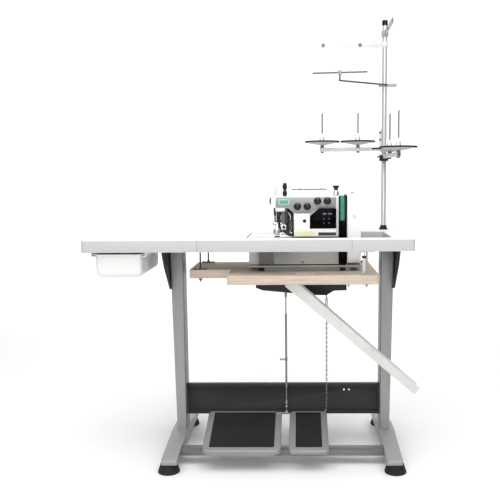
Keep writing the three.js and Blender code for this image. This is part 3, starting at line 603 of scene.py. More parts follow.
# ---------------------------------------------------------------- board and hangers
def build_board():
    refine("mounting_board", BOARD_WOOD, 1.6, 3)
    for node in [n for n in frame["nodes"] if n.startswith("hanger_")]:
        hanger = Box(node)
        x, y = hanger.x, hanger.y
        bm = bmesh.new()
        pitch, core, crest = 1.5, 2.5, 3.0
        profile = []
        z = hanger.low
        while z < hanger.high - 3:
            profile += [(core, z), (crest, z + pitch / 2)]
            z += pitch
        add_lathe(bm, profile, (x, y, 0), segments=14)
        half = (hanger.right - hanger.left) / 2
        depth = (hanger.rear - hanger.front) / 2
        for low in (hanger.high - 3, BOARD.high + 0.3):
            add_block(bm, (x - half, x + half), (y - depth, y + depth), (low, low + 3), 0.8)
        for side in (-1, 1):
            for low, way in ((hanger.high - 3, -1), (BOARD.high + 3.3, 1)):
                add_screw(bm, (x + side * (half - 8), y, low), (0, 0, way), 4, 2)
        add_nut(bm, (x, y, BOARD.high + 3.3), UP, 6, 5)
        add_nut(bm, (x, y, hanger.low + 6), UP, 6, 5.5)
        add_lathe(bm, [(7.5, 0), (8, 0.3), (8, 1.2), (7.5, 1.5)], (x, y, BOARD.low - 1.8))
        piece_of(node, bm, GUIDE_GREY if node == "hanger_front_right" else DARK_STEEL)
    low = BOARD.high + 3.6
    bm = bmesh.new()
    add_block(bm, (356, 368), (-236, -233), (low, low + 38), 0.6)
    add_rod(bm, 1.6, (362, -234.5, low + 56), (362, -234.5, TABLE.low - 3.6), 0.3)
    detail("corner_bracket", bm, ARM_WHITE, "stand", "steel")
    block_detail("corner_bracket_stop", RUBBER, "stand", "rubber",
                 [((354, 370), (-238, -231), (low + 49, low + 57), 1)])
    block_detail("corner_bracket_block", WHITE_PLASTIC, "stand", "white_plastic",
                 [((356.5, 367.5), (-237, -232), (low + 37, low + 49.5), 1)])


# ---------------------------------------------------------------- drawer
def build_drawer():
    tray = Box("drawer_tray")
    lip = 9
    x0, x1 = tray.left + lip, tray.right - lip
    y0, y1 = tray.front, tray.rear
    slope, wall = 20, 2.5

    def ring(inset, z, radius):
        plan = rectangle(x0 + inset, x1 - inset, y0 + inset, y1 - inset, radius, 7)
        return [(x, y, z) for x, y in plan]

    rings = [ring(slope + 6, tray.low, 9)]
    for k in range(6):
        angle = k / 5 * math.pi / 2
        rings.append(ring(slope - slope * 0.94 * math.sin(angle), tray.low + 1.2
                          + slope * (1 - math.cos(angle)), 10 + 2 * k))
    rings += [ring(0, tray.low + 34, 22), ring(0, tray.high - 0.6, 22), ring(0.6, tray.high, 22)]
    rings += [ring(wall - 0.4, tray.high, 20), ring(wall, tray.high - 0.6, 20)]
    rings += [ring(wall, tray.low + 30, 20), ring(slope * 0.55, tray.low + 9, 14),
              ring(slope + 4, tray.low + wall, 8)]
    bm = bmesh.new()
    add_loft(bm, rings)
    for side, x in ((-1, x0), (1, x1)):
        span = sorted((x - side * 0.8, x + side * lip))
        add_block(bm, span, (y0 + 14, y1 - 2), (tray.high - 3, tray.high), 0.5)
    add_prism(bm, rectangle(x0 + 24, x1 - 24, tray.high - 16, tray.high - 6, 4.5),
              "xz", y0 - 0.1, y0 + 3, 0.4)
    piece_of("drawer_tray", bm, WHITE_PLASTIC)
    refine("drawer_rails", WHITE_PLASTIC, 0.5, 2)


# ---------------------------------------------------------------- pedals
# The treadle's plate ends here; its box goes on to the joint of the rod.
TREADLE_RIGHT = 79


def pedal_place(pivot, slope):
    """Takes a point of the level pedal to where it stands on its slope."""
    turn = Matrix.Rotation(slope, 4, "X")
    return lambda point: Vector(pivot) + (turn @ Vector((0, *point[1:]))) + Vector((point[0], 0, 0))


def build_pedal(node, mat_node, body, corner, ribs):
    pedal = Box(node)
    joint = next(j for j in frame["joints"] if j["child"] == body)
    pivot_y, pivot_z = (joint["pos_m"][k] / MM for k in (1, 2))
    slope, length, heel, top, thick = 0.2777, 244, -95.2, 27.1, 16
    left = pedal.left
    right = TREADLE_RIGHT if body == "treadle" else pedal.right
    place = pedal_place((0, pivot_y, pivot_z), slope)
    toe = heel + length

    def ring(inset, z, border=None):
        if border:
            plan = rectangle(left + 22 + inset, right - 22 - inset, heel + 21 + inset,
                             toe - 10 - inset, 5, 5)
        else:
            plan = rectangle(left + inset, right - inset, heel + inset, toe - inset,
                             corner - inset * 0.8, 5)
        return [place((x, y, z)) for x, y in plan]

    edge = 6
    rings = [ring(7, top - thick + 5), ring(2.4, top - thick), ring(0.4, top - thick + 1.2)]
    for k in range(5):
        angle = k / 4 * math.pi / 2
        rings.append(ring(edge * (1 - math.cos(angle)), top - edge + edge * math.sin(angle)))
    rings += [ring(0.6, top, True), ring(0, top - 0.6, True), ring(0, top - 4, True)]
    bm = bmesh.new()
    add_loft(bm, rings)
    under = top - thick
    if body == "treadle":
        add_placed(bm, place, lambda: add_block(
            bm, (left + 19, right - 19), (heel + 0.4, heel + 6), (under - 6, under + 3), 1.4, 3))
    for x in ribs:
        for span in ((x - 9, x - 4), (x + 4, x + 9)):
            add_placed(bm, place, lambda: add_block(bm, span, (-10, 10), (-9, under + 6), 1.2))
        add_rod(bm, 4, place((x - 11, 0, 0)), place((x + 11, 0, 0)), 0.8)
    piece_of(node, bm, PEDAL_PAINT)

    bm = bmesh.new()
    floor = top - 3.7
    plan = rectangle(left + 22.3, right - 22.3, heel + 21.3, toe - 10.3, 4.5, 5)
    add_loft(bm, [[place((x, y, floor)) for x, y in plan],
                  [place((x, y, floor + 1.8)) for x, y in plan]])
    count = 30
    y0, y1 = heel + 24, toe - 13
    pitch = (y1 - y0) / count
    for k in range(count):
        y = y0 + pitch * (k + 0.5)
        half = pitch * 0.3
        section = [(y - half, floor + 1.6), (y - half * 0.7, floor + 3.2),
                   (y + half * 0.7, floor + 3.2), (y + half, floor + 1.6)]
        add_loft(bm, [[place((x, a, b)) for a, b in section] for x in (left + 25, right - 25)])
    piece_of(mat_node, bm, RUBBER)
    return place, top


def build_pedals():
    place, top = build_pedal("treadle_frame", "treadle_mat", "treadle", 22, (-150, 40))
    bm = bmesh.new()
    x, y, ball = Box("treadle_rod").right - 7, 138, 54
    plan = rectangle(58, x + 9, y - 10, y + 7, 4)
    add_loft(bm, [[place((a, b, z)) for a, b in plan] for z in (top - 2, top + 3.4)]
             + [[place((a, b + (y - 1.5 - b) * 0.06, top + 4)) for a, b in plan]])
    add_rod(bm, 3, place((x, y, top + 2)), place((x, y, ball - 4)), 0.3)
    add_nut(bm, place((x, y, top + 4)), place((0, 0, 1)) - place((0, 0, 0)), 5.5, 4.5)
    balls = [(6 * math.sin(a), -6 * math.cos(a)) for a in (k / 12 * math.pi for k in range(1, 12))]
    add_lathe(bm, balls, place((x, y, ball)), place((0, 0, 1)) - place((0, 0, 0)), 24)
    detail("treadle_ball_joint", bm, STEEL, "treadle", "steel")

    place, top = build_pedal("lifter_pedal_frame", "lifter_pedal_mat", "lifter_pedal", 18,
                             (130, 221))
    bm = bmesh.new()
    x, y = Box("lift_chain").x - 4, 138
    add_rod(bm, 3, place((x, y, top - 2)), place((x, y, top + 5)), 0.3)
    loop = []
    for k in range(25):
        angle = 2 * math.pi * k / 24
        loop.append(place((x + 4.2 * math.cos(angle), y, top + 8.5 + 4.2 * math.sin(angle))))
    add_tube(bm, loop, 1.3, 10)
    detail("lifter_eye_bolt", bm, STEEL, "lifter_pedal", "steel")


# ---------------------------------------------------------------- linkage
def build_treadle_rod():
    rod = Box("treadle_rod")
    x, y = rod.right - 7, rod.y

    def at(z):
        return (x, y, z)

    bm = bmesh.new()
    low = rod.low
    add_lathe(bm, rounded([(5, 0), (7, 0), (7, 9), (5.4, 13), (3, 16)], 1, 3), at(low), UP, 32)
    add_rod(bm, 2.2, at(low + 12), at(250))
    add_nut(bm, at(low + 17), UP, 4.6, 4)
    add_rod(bm, 3.9, at(238), at(512), 0.6)
    add_rod(bm, 2.2, at(508), at(rod.high))
    add_rod(bm, 4.5, at(574), at(590), 0.8)
    screw = 345
    add_rod(bm, 5, at(screw - 7), at(screw + 7), 0.8)
    add_rod(bm, 2.5, (x - 15, y, screw), (x, y, screw))
    wing = rounded([(-22, -5), (-13.5, -2), (-13.5, 2), (-22, 5)], 1.4, 3, closed=True)
    add_prism(bm, [(x + a, screw + b) for a, b in wing], "xz", y - 1.5, y + 1.5, 0.5)
    piece_of("treadle_rod", bm, PIN_STEEL)


def build_lift_chain():
    """Links up to a white sleeve, and a rod above it."""
    chain = Box("lift_chain")
    x, y = chain.x, chain.y
    bm = bmesh.new()
    pitch, half, wide, wire = 8.6, 6.0, 2.4, 1.15
    z = chain.low + 6
    turn = 0
    while z < 512:
        points = []
        for k in range(17):
            angle = 2 * math.pi * k / 16
            across, along = wide * math.cos(angle), half * math.sin(angle)
            offset = (across, 0) if turn == 0 else (0, across)
            points.append((x + offset[0], y + offset[1], z + along))
        add_tube(bm, points, wire, 6)
        turn = 1 - turn
        z += pitch
    add_rod(bm, 2.3, (x, y, 566), (x, y, chain.high))
    piece_of("lift_chain", bm, PIN_STEEL, sharp=60)
    sleeve = rounded([(4.2, 0), (5.5, 1), (5.5, 62), (4, 64), (2.6, 66)], 1.2, 3)
    lathe_detail("chain_sleeve", sleeve, (x, y, 506), UP, 32, WHITE_PLASTIC, "lifter_chain",
                 "white_plastic")


def build_control_box():
    refine("control_box", BLACK_PLASTIC, 2.5, 3, keep=outer_edges("control_box"))
    box = Box("control_box")
    bm = bmesh.new()
    count, pitch = 24, 12.6
    for k in range(count):
        x = box.left + 8 + k * pitch
        add_block(bm, (x, x + 3), (box.front - 1.4, box.front + 1), (622, 647), 0.5)
    detail("control_box_ribs", bm, BLACK_PLASTIC, "stand", "black_plastic")
    bm = bmesh.new()
    add_block(bm, (box.right + 5, box.right + 19), (-62, -44), (622, box.high), 1.5)
    add_rod(bm, 3, (box.right + 12, -53, 612), (box.right + 12, -53, 624), 0.5)
    add_block(bm, (box.right + 1, box.right + 6), (-60, -46), (634, 644), 0.6)
    detail("box_fitting", bm, GUIDE_GREY, "stand", "steel")


def outer_edges(node, slack=0.5):
    """A test for edges that lie on the outside of a node's box in y."""
    box = Box(node)

    def keep(edge):
        return all(
            min(abs(v.co.y / MM - box.front), abs(v.co.y / MM - box.rear)) < slack
            for v in edge.verts
        )
    return keep


# ---------------------------------------------------------------- chute
def build_chute():
    refine("waste_chute", CHUTE_SHADED_WHITE, 0.5, 2)
    chute = Box("waste_chute")
    bm = bmesh.new()
    for x in (chute.left + 10, chute.left + 95):
        for y in (chute.front + 4.5, chute.rear - 4.5):
            add_screw(bm, (x, y, chute.high - 2), (0, 0, -1), 3, 1.6)
    along = Vector((435, 0, -370)).normalized()
    middle = Vector((chute.left + 5, chute.front + 7.6, 642)) + along * 365 + Vector((16, 0, 19))
    add_screw(bm, middle, FORWARD, 3.2, 1.8)
    detail("chute_screws", bm, STEEL, "stand", "steel")


# ---------------------------------------------------------------- head
def build_castings():
    front = HEAD.front

    def grey_face(face):
        centre = face.calc_center_median() / MM
        return centre.y < front + 1.6 and centre.z > 881.5

    def on_skin(edge):
        planes = (front, front + 2, HEAD.rear)
        return all(min(abs(v.co.y / MM - y) for y in planes) < 0.4 for v in edge.verts)

    refine("head_body", WHITE_PAINT, 1.6, 3, keep=on_skin, paint=[(grey_face, FASCIA_GREY)])

    def bed_skin(edge):
        inside = (Vector((v.co.x, v.co.y, 0)) / MM for v in edge.verts)
        return all(
            p.x < BED.left + 60 or p.y < BED.front + 7 or p.y > BED.rear - 7 or p.x > BED.right - 50
            for p in inside
        ) and all(v.co.z / MM > BED.low - 1 for v in edge.verts)

    refine("head_bed", CAST_GREY, 1.2, 2, keep=bed_skin)
    refine("cloth_plate", POLISHED, 0.6, 2)
    refine("looper_cover", COVER_WHITE, 1.8, 3)
    refine("motor_cover", COVER_WHITE, 1.2, 3, keep=lambda e: all(
        v.co.x / MM > MOTOR.right - 0.4 for v in e.verts))
    refine("top_housing", COVER_WHITE, 2.6, 4)


def build_bed_details():
    """What shows of the lower casting below the table."""
    front = BED.front + 5
    block_detail("bed_side_plate", WHITE_PLASTIC, "stand", "white_plastic",
                 [((BED.left + 3, BED.left + 42), (front + 30, front + 36), (702, 790), 1.2)])
    bm = bmesh.new()
    add_prism(bm, rectangle(20, 325, -136, 52, 8), "xy", BOARD.high + 0.4, BED.low + 0.5, 1.5)
    detail("oil_pan", bm, CAST_GREY, "stand", "head_grey")
    bm = bmesh.new()
    # The dark block over the left of the bed is painted shade; the curved tube is the dark trim.
    add_block(bm, (12, 57), (front - 1.2, front + 2), (702, 789), 1)
    pipe = [(44, front - 1.5, 757), (56, front - 2.5, 761), (70, front - 2.5, 763)]
    add_tube(bm, smooth_path(pipe), 1.8, 10)
    detail("bed_shade_panel_and_trim", bm, BAR_COAT_AND_SHADE, "stand", "head_grey")
    bm = bmesh.new()
    add_block(bm, (BED.left + 42, BED.right - 50), (front - 1.8, front + 1), (700.5, 705), 0.8)
    add_block(bm, (BED.left + 41, BED.left + 43.6), (front + 1, front + 32), (700, 789), 0.4)
    for x in (BED.left + 48, BED.right - 62):
        for y in (BED.front + 12, BED.rear - 12):
            add_lathe(bm, rounded([(8, 0), (9, 0), (9, 9), (7.5, 12.6)], 1.5, 3),
                      (x, y, BOARD.high + 0.2), UP, 32)
    detail("bed_gaskets", bm, RUBBER, "stand", "rubber")
    bm = bmesh.new()
    for x, z in ((BED.left + 50, 745), (BED.left + 90, 712), (BED.left + 190, 712), (296, 712)):
        add_screw(bm, (x, front + 0.4, z), FORWARD, 3.2, 2)
    detail("bed_screws", bm, DARK_STEEL, "stand", "steel")


def build_fascia():
    """The marks, strips and blank plates on the front of the head."""
    front = HEAD.front
    cover = Box("looper_cover")
    for row in (
        ("blank_badge_frame", (74.5, 113), (908.5, 929), 3, (front - 2.5, front - 1.8), 0.2,
         MINT_PLATE, "stand", "head_white"),
        ("blank_badge", (79.5, 108.5), (913, 925), 2, (front - 2.9, front - 2.4), 0.2,
         TEAL_PLATE, "stand", "head_white"),
        ("blank_yellow_label", (136, 196), (803, 820), 1.5,
         (cover.front - 0.25, cover.front + 0.3), 0, YELLOW_LABEL, "cover", "head_white"),
        ("blank_dark_label", (211, 271), (804.5, 815.5), 1.5,
         (cover.front - 0.3, cover.front + 0.3), 0, DARK_LABEL, "cover", "black_plastic"),
    ):
        plate_detail(*row)
    # The knob is flat, so that it clears the front insert when the cover is folded down.
    lathe_detail("cover_knob", rounded([(3, 0), (6.2, 0), (6.2, 1.2), (5.4, 1.9)], 0.4, 3),
                 (164, cover.front, 854.5), FORWARD, 40, BLACK_PLASTIC, "cover", "black_plastic")
    bm = bmesh.new()
    add_tube(bm, [(128.5, cover.front + 1, z) for z in (806, 820, 840, 860)], 0.5, 8)
    detail("cover_shadow_gap", bm, DARK_LABEL, "cover", "black_plastic")


def build_display():
    panel = Box("display_panel")
    outline = rounded([
        (panel.left, panel.low), (panel.right, panel.low), (panel.right, panel.high),
        (panel.left + 30.7, panel.high), (panel.left, panel.high - 26.5),
    ], 3, 4, closed=True)
    bm = bmesh.new()
    add_prism(bm, outline, "xz", panel.front, panel.rear, 1.2, 3)
    piece_of("display_panel", bm, GLOSS_BLACK)
    bm = bmesh.new()
    dim = bmesh.new()
    face = panel.front - 0.15
    for row, z in enumerate((panel.high - 19, panel.high - 36, panel.high - 50)):
        for x in (panel.left + 47, panel.left + 65):
            target = bm if row == 0 else dim
            add_lathe(target, [(2.4, 0), (3.1, 0), (3.1, 0.3), (2.4, 0.3)], (x, face + 0.2, z),
                      FORWARD, 24, closed=True)
            add_block(target, (x - 0.5, x + 0.5), (face - 0.1, face + 0.1), (z - 1.2, z + 1.6), 0)
            if row == 0:
                add_block(target, (x + 5, x + 9), (face - 0.1, face + 0.1), (z - 1, z + 1.4), 0)
    detail("display_marks_lit", bm, ICON, "stand", "gloss_black")
    detail("display_marks_dim", dim, ICON_DIM, "stand", "gloss_black")


def build_light_strip():
    strip = Box("light_strip")
    bm = bmesh.new()
    add_prism(bm, rectangle(strip.left, strip.right, strip.low, strip.high, 3), "xz",
              strip.front, strip.rear, 1, 3)
    piece_of("light_strip", bm, GLOSS_BLACK)
    left, high, front = strip.left, strip.high, strip.front
    plate_detail("light_bar_edge", (left + 3, left + 22), (high - 86, high - 1), 6,
                 (front - 0.4, front + 0.4), 0.3, TEAL_EDGE, "stand", "gloss_black")
    plate_detail("light_bar", (left + 6.5, left + 18), (high - 84, high - 1.5), 5,
                 (front - 0.9, front + 0.2), 0.4, TEAL, "stand", "gloss_black")


def build_dials():
    for number in range(1, 5):
        node = f"tension_dial_{number}"
        dial = Box(node)
        centre = (dial.x, dial.rear, dial.z)
        bm = bmesh.new()
        add_lathe(bm, rounded([(11.6, 0), (12.5, 0.6), (12.5, 7.4), (11.8, 8), (9, 9.4),
                               (9, 12)], 0.8, 3), centre, FORWARD, 60)
        teeth = 30
        rings = []
        for radius, depth in ((9, 12), (11.3, 13.4), (12, 14.4), (11.9, 19), (10.8, 20.6),
                              (5, 22.4), (4, 21.8)):
            ring = []
            for k in range(teeth * 4):
                angle = 2 * math.pi * k / (teeth * 4)
                groove = 0.45 if k % 4 < 2 and radius > 10.5 else 0
                ring.append((dial.x + (radius - groove) * math.cos(angle), dial.rear - depth,
                             dial.z + (radius - groove) * math.sin(angle)))
            rings.append(ring)
        add_loft(bm, rings)
        piece_of(node, bm, BLACK_PLASTIC, sharp=30)
        bm = bmesh.new()
        add_block(bm, (dial.x - 0.45, dial.x + 0.45), (dial.front + 0.4, dial.front + 1.6),
                  (dial.z + 5.6, dial.z + 9.8), 0.1)
        detail(f"dial_mark_{number}", bm, WHITE_PLASTIC, f"dial_{number}", "white_plastic")


def build_pressure_knob():
    knob = Box("pressure_knob")
    bm = bmesh.new()
    profile = rounded([(5, 0), (7.4, 3), (8, 6), (8, 15), (6.4, 18), (4.5, 20.5), (4.5, 22),
                       (7, 25), (8, 28), (8, 37), (6.8, 42), (4, 46.6)], 1.6, 3)
    add_lathe(bm, profile, (knob.x, knob.y, knob.low), UP, 48)
    piece_of("pressure_knob", bm, BLACK_PLASTIC)


def build_oil_sight():
    sight = Box("oil_sight")
    bm = bmesh.new()
    add_lathe(bm, rounded([(8, 0), (10, 1), (10.5, 7), (9.4, 13), (6.2, 19), (6, 24)], 1.6, 4),
              (sight.x, sight.y, sight.low), UP, 48)
    piece_of("oil_sight", bm, POLISHED)
    cap = rounded([(6.3, 19.5), (6.3, 24), (12.2, 33), (13, 34), (13, 35.4), (12, 36), (4, 35.2)],
                  0.7, 3)
    lathe_detail("oil_cap", cap, (sight.x, sight.y, sight.low), UP, 48, BLACK_PLASTIC, "stand",
                 "black_plastic")


def build_button():
    button = Box("motor_cover_button")
    bm = bmesh.new()
    add_lathe(bm, rounded([(7, 0), (7, 7.6), (6, 9.6), (3, 10.8)], 1.4, 4),
              (button.x, button.y, button.low), UP, 40)
    piece_of("motor_cover_button", bm, FASCIA_GREY)


def build_head_top():
    """Thread tube, side knob, screws and the dark joint on top of the head."""
    housing = Box("top_housing")
    sides = ((housing.front - 0.8, housing.front + 0.6), (housing.rear - 0.6, housing.rear + 0.8))
    z = (housing.high - 2.6, housing.high + 0.2)
    block_detail("housing_joint", DARK_LABEL, "stand", "black_plastic",
                 [((121, 242), y, z, 0.4) for y in sides])
    tube = rounded([(6.5, 0), (6.5, 3), (4.4, 5), (4.4, 11), (6.2, 13), (6.2, 33), (4.2, 36)], 1, 3)
    lathe_detail("thread_tube", tube, (64.2, -100, HEAD.high), UP, 32, ARM_WHITE, "stand",
                 "white_plastic")
    knob = rounded([(9, 0), (12, 0.6), (12, 4), (9, 6), (4, 7)], 1.2, 4)
    lathe_detail("side_knob", knob, (HEAD.left, -118, 922), (-1, 0, 0), 44, DARK_STEEL, "stand",
                 "head_grey")
    bm = bmesh.new()
    for x, y in ((150, -80), (150, 0), (224, -80), (224, 0)):
        add_screw(bm, (x, y, housing.high), UP, 4, 2)
    for x in (150, 224):
        add_screw(bm, (x, HEAD.front - 2, 930 - (x - 150) * 0.1), FORWARD, 2, 1)
    add_screw(bm, (300, HEAD.front, 926), FORWARD, 2.4, 1)
    detail("head_screws", bm, STEEL, "stand", "steel")
    bm = bmesh.new()
    add_lathe(bm, [(3.6, 0), (4.6, 0), (4.6, 0.8), (3.6, 0.8)], (334, MOTOR.front + 0.2, 868),
              FORWARD, 32, closed=True)
    for k in range(9):
        z = 840 - k * 9
        add_block(bm, (MOTOR.right - 0.5, MOTOR.right + 0.4), (-95, -10), (z, z + 4), 0.4)
    detail("motor_cover_slots", bm, DARK_LABEL, "stand", "black_plastic")


ARM_UNDER = 899


def build_needle_bar():
    needle = Box("needle_bar")
    x, y = needle.x, needle.y
    bm = bmesh.new()
    add_rod(bm, 4.5, (x, y, 840), (x, y, needle.high), 0.8, 32)
    add_block(bm, (x - 8, x + 8), (y - 6, y + 6), (832, 848), 1.4, 3)
    add_screw(bm, (x - 3.5, y - 6, 840), FORWARD, 2.2, 1.8)
    add_rod(bm, 1.4, (x, y, 816), (x, y, 834), 0.2, 16)
    add_rod(bm, 0.8, (x, y, needle.low + 2), (x, y, 817), 0.3, 12)
    add_lathe(bm, [(0.8, 0), (0.1, -3)], (x, y, needle.low + 3), UP, 12)
    piece_of("needle_bar", bm, POLISHED)


def build_presser_foot():
    foot = Box("presser_foot")
    bx, by = 62, -100
    bm = bmesh.new()
    add_rod(bm, 3.5, (bx, by, 836), (bx, by, foot.high), 0.6, 32)
    add_block(bm, (bx - 7, bx + 12), (by - 8, by + 6), (836, 848), 1.6, 3)
    add_block(bm, (bx + 4, bx + 12), (-146, by - 4), (838, 846), 1.2)
    add_block(bm, (bx + 4, bx + 12), (-146, -140), (806, 842), 1.2)
    sole = rounded([(-160, 806.5), (-157, 801), (-121, 801), (-121, 804.3), (-138, 804.4),
                    (-142, 808), (-150, 808)], 1, 3, closed=True)
    for left, right in ((bx + 2, bx + 19), (bx + 23, bx + 40)):
        add_prism(bm, sole, "yz", left, right, 0.4)
    add_block(bm, (bx + 6, bx + 34), (-146, -140), (804, 808), 0.8)
    add_screw(bm, (bx - 7, by - 1, 842), (-1, 0, 0), 4, 3)
    piece_of("presser_foot", bm, POLISHED)


def build_knife():
    knife = Box("upper_knife")
    bm = bmesh.new()
    add_block(bm, (knife.left + 2, knife.right), (knife.front, knife.rear), (834, knife.high),
              1.2)
    blade = [(-126, 806.5), (-112, knife.low), (-112, 842), (-126, 842)]
    add_prism(bm, blade, "yz", knife.left, knife.left + 3, 0.3)
    add_screw(bm, (knife.left + 9, knife.front, 843), FORWARD, 3.4, 2)
    piece_of("upper_knife", bm, MECHANISM_GREY)


def build_under_arm():
    """The brackets, levers and guards under the arm, which stay still."""
    block_detail("arm_brackets", MECHANISM_DARK, "stand", "steel", [
        ((66, 127), (-96, -91), (812, ARM_UNDER), 1),
        ((98, 106), (-146, -130), (846, ARM_UNDER), 1),
        ((58, 64), (-140, -126), (872, ARM_UNDER), 1.4),
        ((72, 79), (-140, -126), (871, 888), 1.4),
        ((119, 127), (-108, -97), (822, 868), 2),
    ])
    bm = bmesh.new()
    add_block(bm, (84, 97.5), (-138, -131), (843, 888), 1)
    add_lathe(bm, rounded([(3, 0), (5, 0.6), (5, 3), (3.4, 4)], 0.6, 3), (91, -138, 877),
              FORWARD, 30)
    detail("needle_bar_guard", bm, MECHANISM_GREY, "stand", "steel")
    bm = bmesh.new()
    add_block(bm, (65, 98), (-151, -129), (886.5, ARM_UNDER + 0.4), 2, 3)
    for x in (71, 82, 93):
        add_lathe(bm, rounded([(1.8, 0), (2.8, 0.4), (2.8, 2.4), (1.8, 3)], 0.4, 2),
                  (x, -151, 893), FORWARD, 20)
    detail("arm_nose", bm, WHITE_PLASTIC, "stand", "white_plastic")
    bm = bmesh.new()
    add_rod(bm, 2.6, (68, -137, 857), (68, -137, 888), 0.6)
    # The thin polished rod stands for the highlight on the edge of the guard plate: a painted
    # highlight.
    add_rod(bm, 1.4, (82.4, -139, 856), (82.4, -139, 874), 0.4)
    add_tube(bm, smooth_path([(109, -138, 882), (114, -142, 874), (116, -144, 865),
                              (114, -143, 857)]), 2.4, 12)
    detail("arm_levers_and_highlight_rod", bm, POLISHED, "stand", "steel")
    bm = bmesh.new()
    add_tube(bm, smooth_path([(121, -140, 836), (118, -142, 826), (113, -142, 815)]), 1.7, 10)
    detail("thread_lever", bm, BRASS, "stand", "steel")
    corner_lever("foot_lever", [(91, 824), (97, 826), (126, 807), (126, 801.5), (112, 801.5),
                                (92, 815)], (-157, -150), "presser", "steel")
    corner_lever("chip_guard", [(116, 866), (127, 868), (127, 802), (119, 802), (122, 822),
                                (120, 846)], (-149, -144), "stand", "black_plastic")


def corner_lever(name, points, y, body, slot):
    bm = bmesh.new()
    add_prism(bm, rounded(points, 2, 4, closed=True), "xz", *y, 1.2)
    detail(name, bm, BLACK_PLASTIC, body, slot)


def build_foot_parts():
    """The knob, clamp and block that move with the presser foot."""
    bm = bmesh.new()
    add_lathe(bm, rounded([(5, 0), (11.5, 1), (12.5, 3), (12, 6), (8.5, 8), (8, 10.5), (5, 12.5)],
                          1.2, 4), (69, -147, 820), FORWARD, 48)
    for k in range(5):
        angle = math.radians(-60 + 72 * k)
        x, z = 69 + 10.4 * math.cos(angle), 820 + 10.4 * math.sin(angle)
        add_rod(bm, 1.2, (x, -147, z), (x, -154.5, z), 0.3, 12)
    detail("foot_knob", bm, STEEL, "presser", "steel")
    block_detail("foot_block", BLACK_PLASTIC, "presser", "steel", [
        ((62, 79), (-159, -147), (801.4, 806.4), 1.4),
        ((90, 97), (-152.4, -150), (828, 838), 0.8),
    ])
    y = (-152, -146)
    sides = [(x, y, (825, 841), 0.8) for x in ((84, 88), (98, 101))]
    bars = [((86, 100), y, z, 0.8) for z in ((825, 828.4), (837.6, 841))]
    block_detail("foot_clamp", WHITE_PAINT, "presser", "steel", sides + bars)


def build_mechanism():
    """What sews and cuts, under the arm and in the bed."""
    build_needle_bar()
    build_presser_foot()
    build_knife()
    build_under_arm()
    build_foot_parts()
    refine("looper", POLISHED, 0)
    refine("drive_shaft", STEEL, 0.8, 2, fold=40)


# ---------------------------------------------------------------- thread stand
POLE = Box("pole_upper")


def build_pole():
    lower = Box("pole_lower")
    bm = bmesh.new()
    add_lathe(bm, [(9.5, lower.low + 14), (9.5, lower.high - 0.6), (9.1, lower.high),
                   (8, lower.high), (8, lower.low + 14)], (POLE.x, POLE.y, 0), UP, 64, closed=True)
    piece_of("pole_lower", bm, PALE_STEEL)
    base = rounded([(9.6, 17), (12.6, 16), (13, 15), (13, 6.5), (16.6, 5.5), (17, 4.6), (17, 0.2),
                    (9.6, 0.2)], 0.5, 2)
    lathe_detail("pole_base_nut", base, (POLE.x, POLE.y, lower.low), UP, 48, BLACK_PLASTIC,
                 "stand", "black_plastic")
    bm = bmesh.new()
    joint = lower.high + 0.3
    add_lathe(bm, [(7.6, POLE.low), (7.6, joint), (9.1, joint), (9.5, joint + 0.5),
                   (9.5, POLE.high - 18), (8, POLE.high - 17)], (POLE.x, POLE.y, 0), UP, 64)
    piece_of("pole_upper", bm, PALE_STEEL)
    cap = rounded([(9.6, 0), (11, 0), (11, 17), (8.5, 20), (3, 20.4)], 1.5, 4)
    lathe_detail("pole_cap", cap, (POLE.x, POLE.y, POLE.high - 20.4), UP, 48, BLACK_PLASTIC,
                 "stand", "black_plastic")


def arm_frame(angle):
    """Takes a point of an arm that lies along +X from the pole to where it stands."""
    turn = Matrix.Rotation(angle, 3, "Z")
    return lambda point: Vector((POLE.x, POLE.y, 0)) + turn @ Vector(point)


def add_collar(bm, low, high, outer, place):
    inner = 9.9
    add_lathe(bm, rounded([(inner, low), (outer, low), (outer, high), (inner, high)], 1, 2,
                          closed=True), place((0, 0, 0)), UP, 48, closed=True)


def build_spool_arm(node, body, angle, low, high, discs):
    place = arm_frame(angle)
    bm = bmesh.new()
    add_placed(bm, place, lambda: add_block(bm, (10.5, 246), (-7, 7), (low, high), 1.8, 3))
    add_collar(bm, Box(node).low, high, 17, place)
    if node == "spool_arm_left":
        strap = rectangle(10, 20, 1114, 1188, 3)
        add_placed(bm, place, lambda: add_prism(bm, strap, "xz", -3, 3, 0.6))
    piece_of(node, bm, ARM_WHITE)
    bm = bmesh.new()

    def fittings():
        add_nut(bm, (100, 0, low), (0, 0, -1), 7, 5)
        add_nut(bm, (237, 0, low), (0, 0, -1), 7, 5)
        add_block(bm, (243.5, 246.6), (-6, 6), (low + 1, high - 1), 0.8)
        if node == "spool_arm_left":
            for z in (1172, 1145):
                add_screw(bm, (15, 3, z), (0, 1, 0), 4.2, 2)
        else:
            add_rod(bm, 2.5, (0, -12, 1080), (0, -24, 1080), 0.8)
            add_rod(bm, 3.4, (0, -21, 1080), (0, -26, 1080), 1)

    add_placed(bm, place, fittings)
    detail(f"{node}_fittings", bm, WIRE_GREY, body, "steel")
    if node == "spool_arm_front":
        collar = rectangle(10, 17.6, low - 9.4, high - 3, 1, 2)
        lathe_detail("front_arm_collar", collar, (POLE.x, POLE.y, 0), UP, 48, MECHANISM_DARK,
                     body, "steel", closed=True)
    for number in discs:
        build_disc(number, body, high)


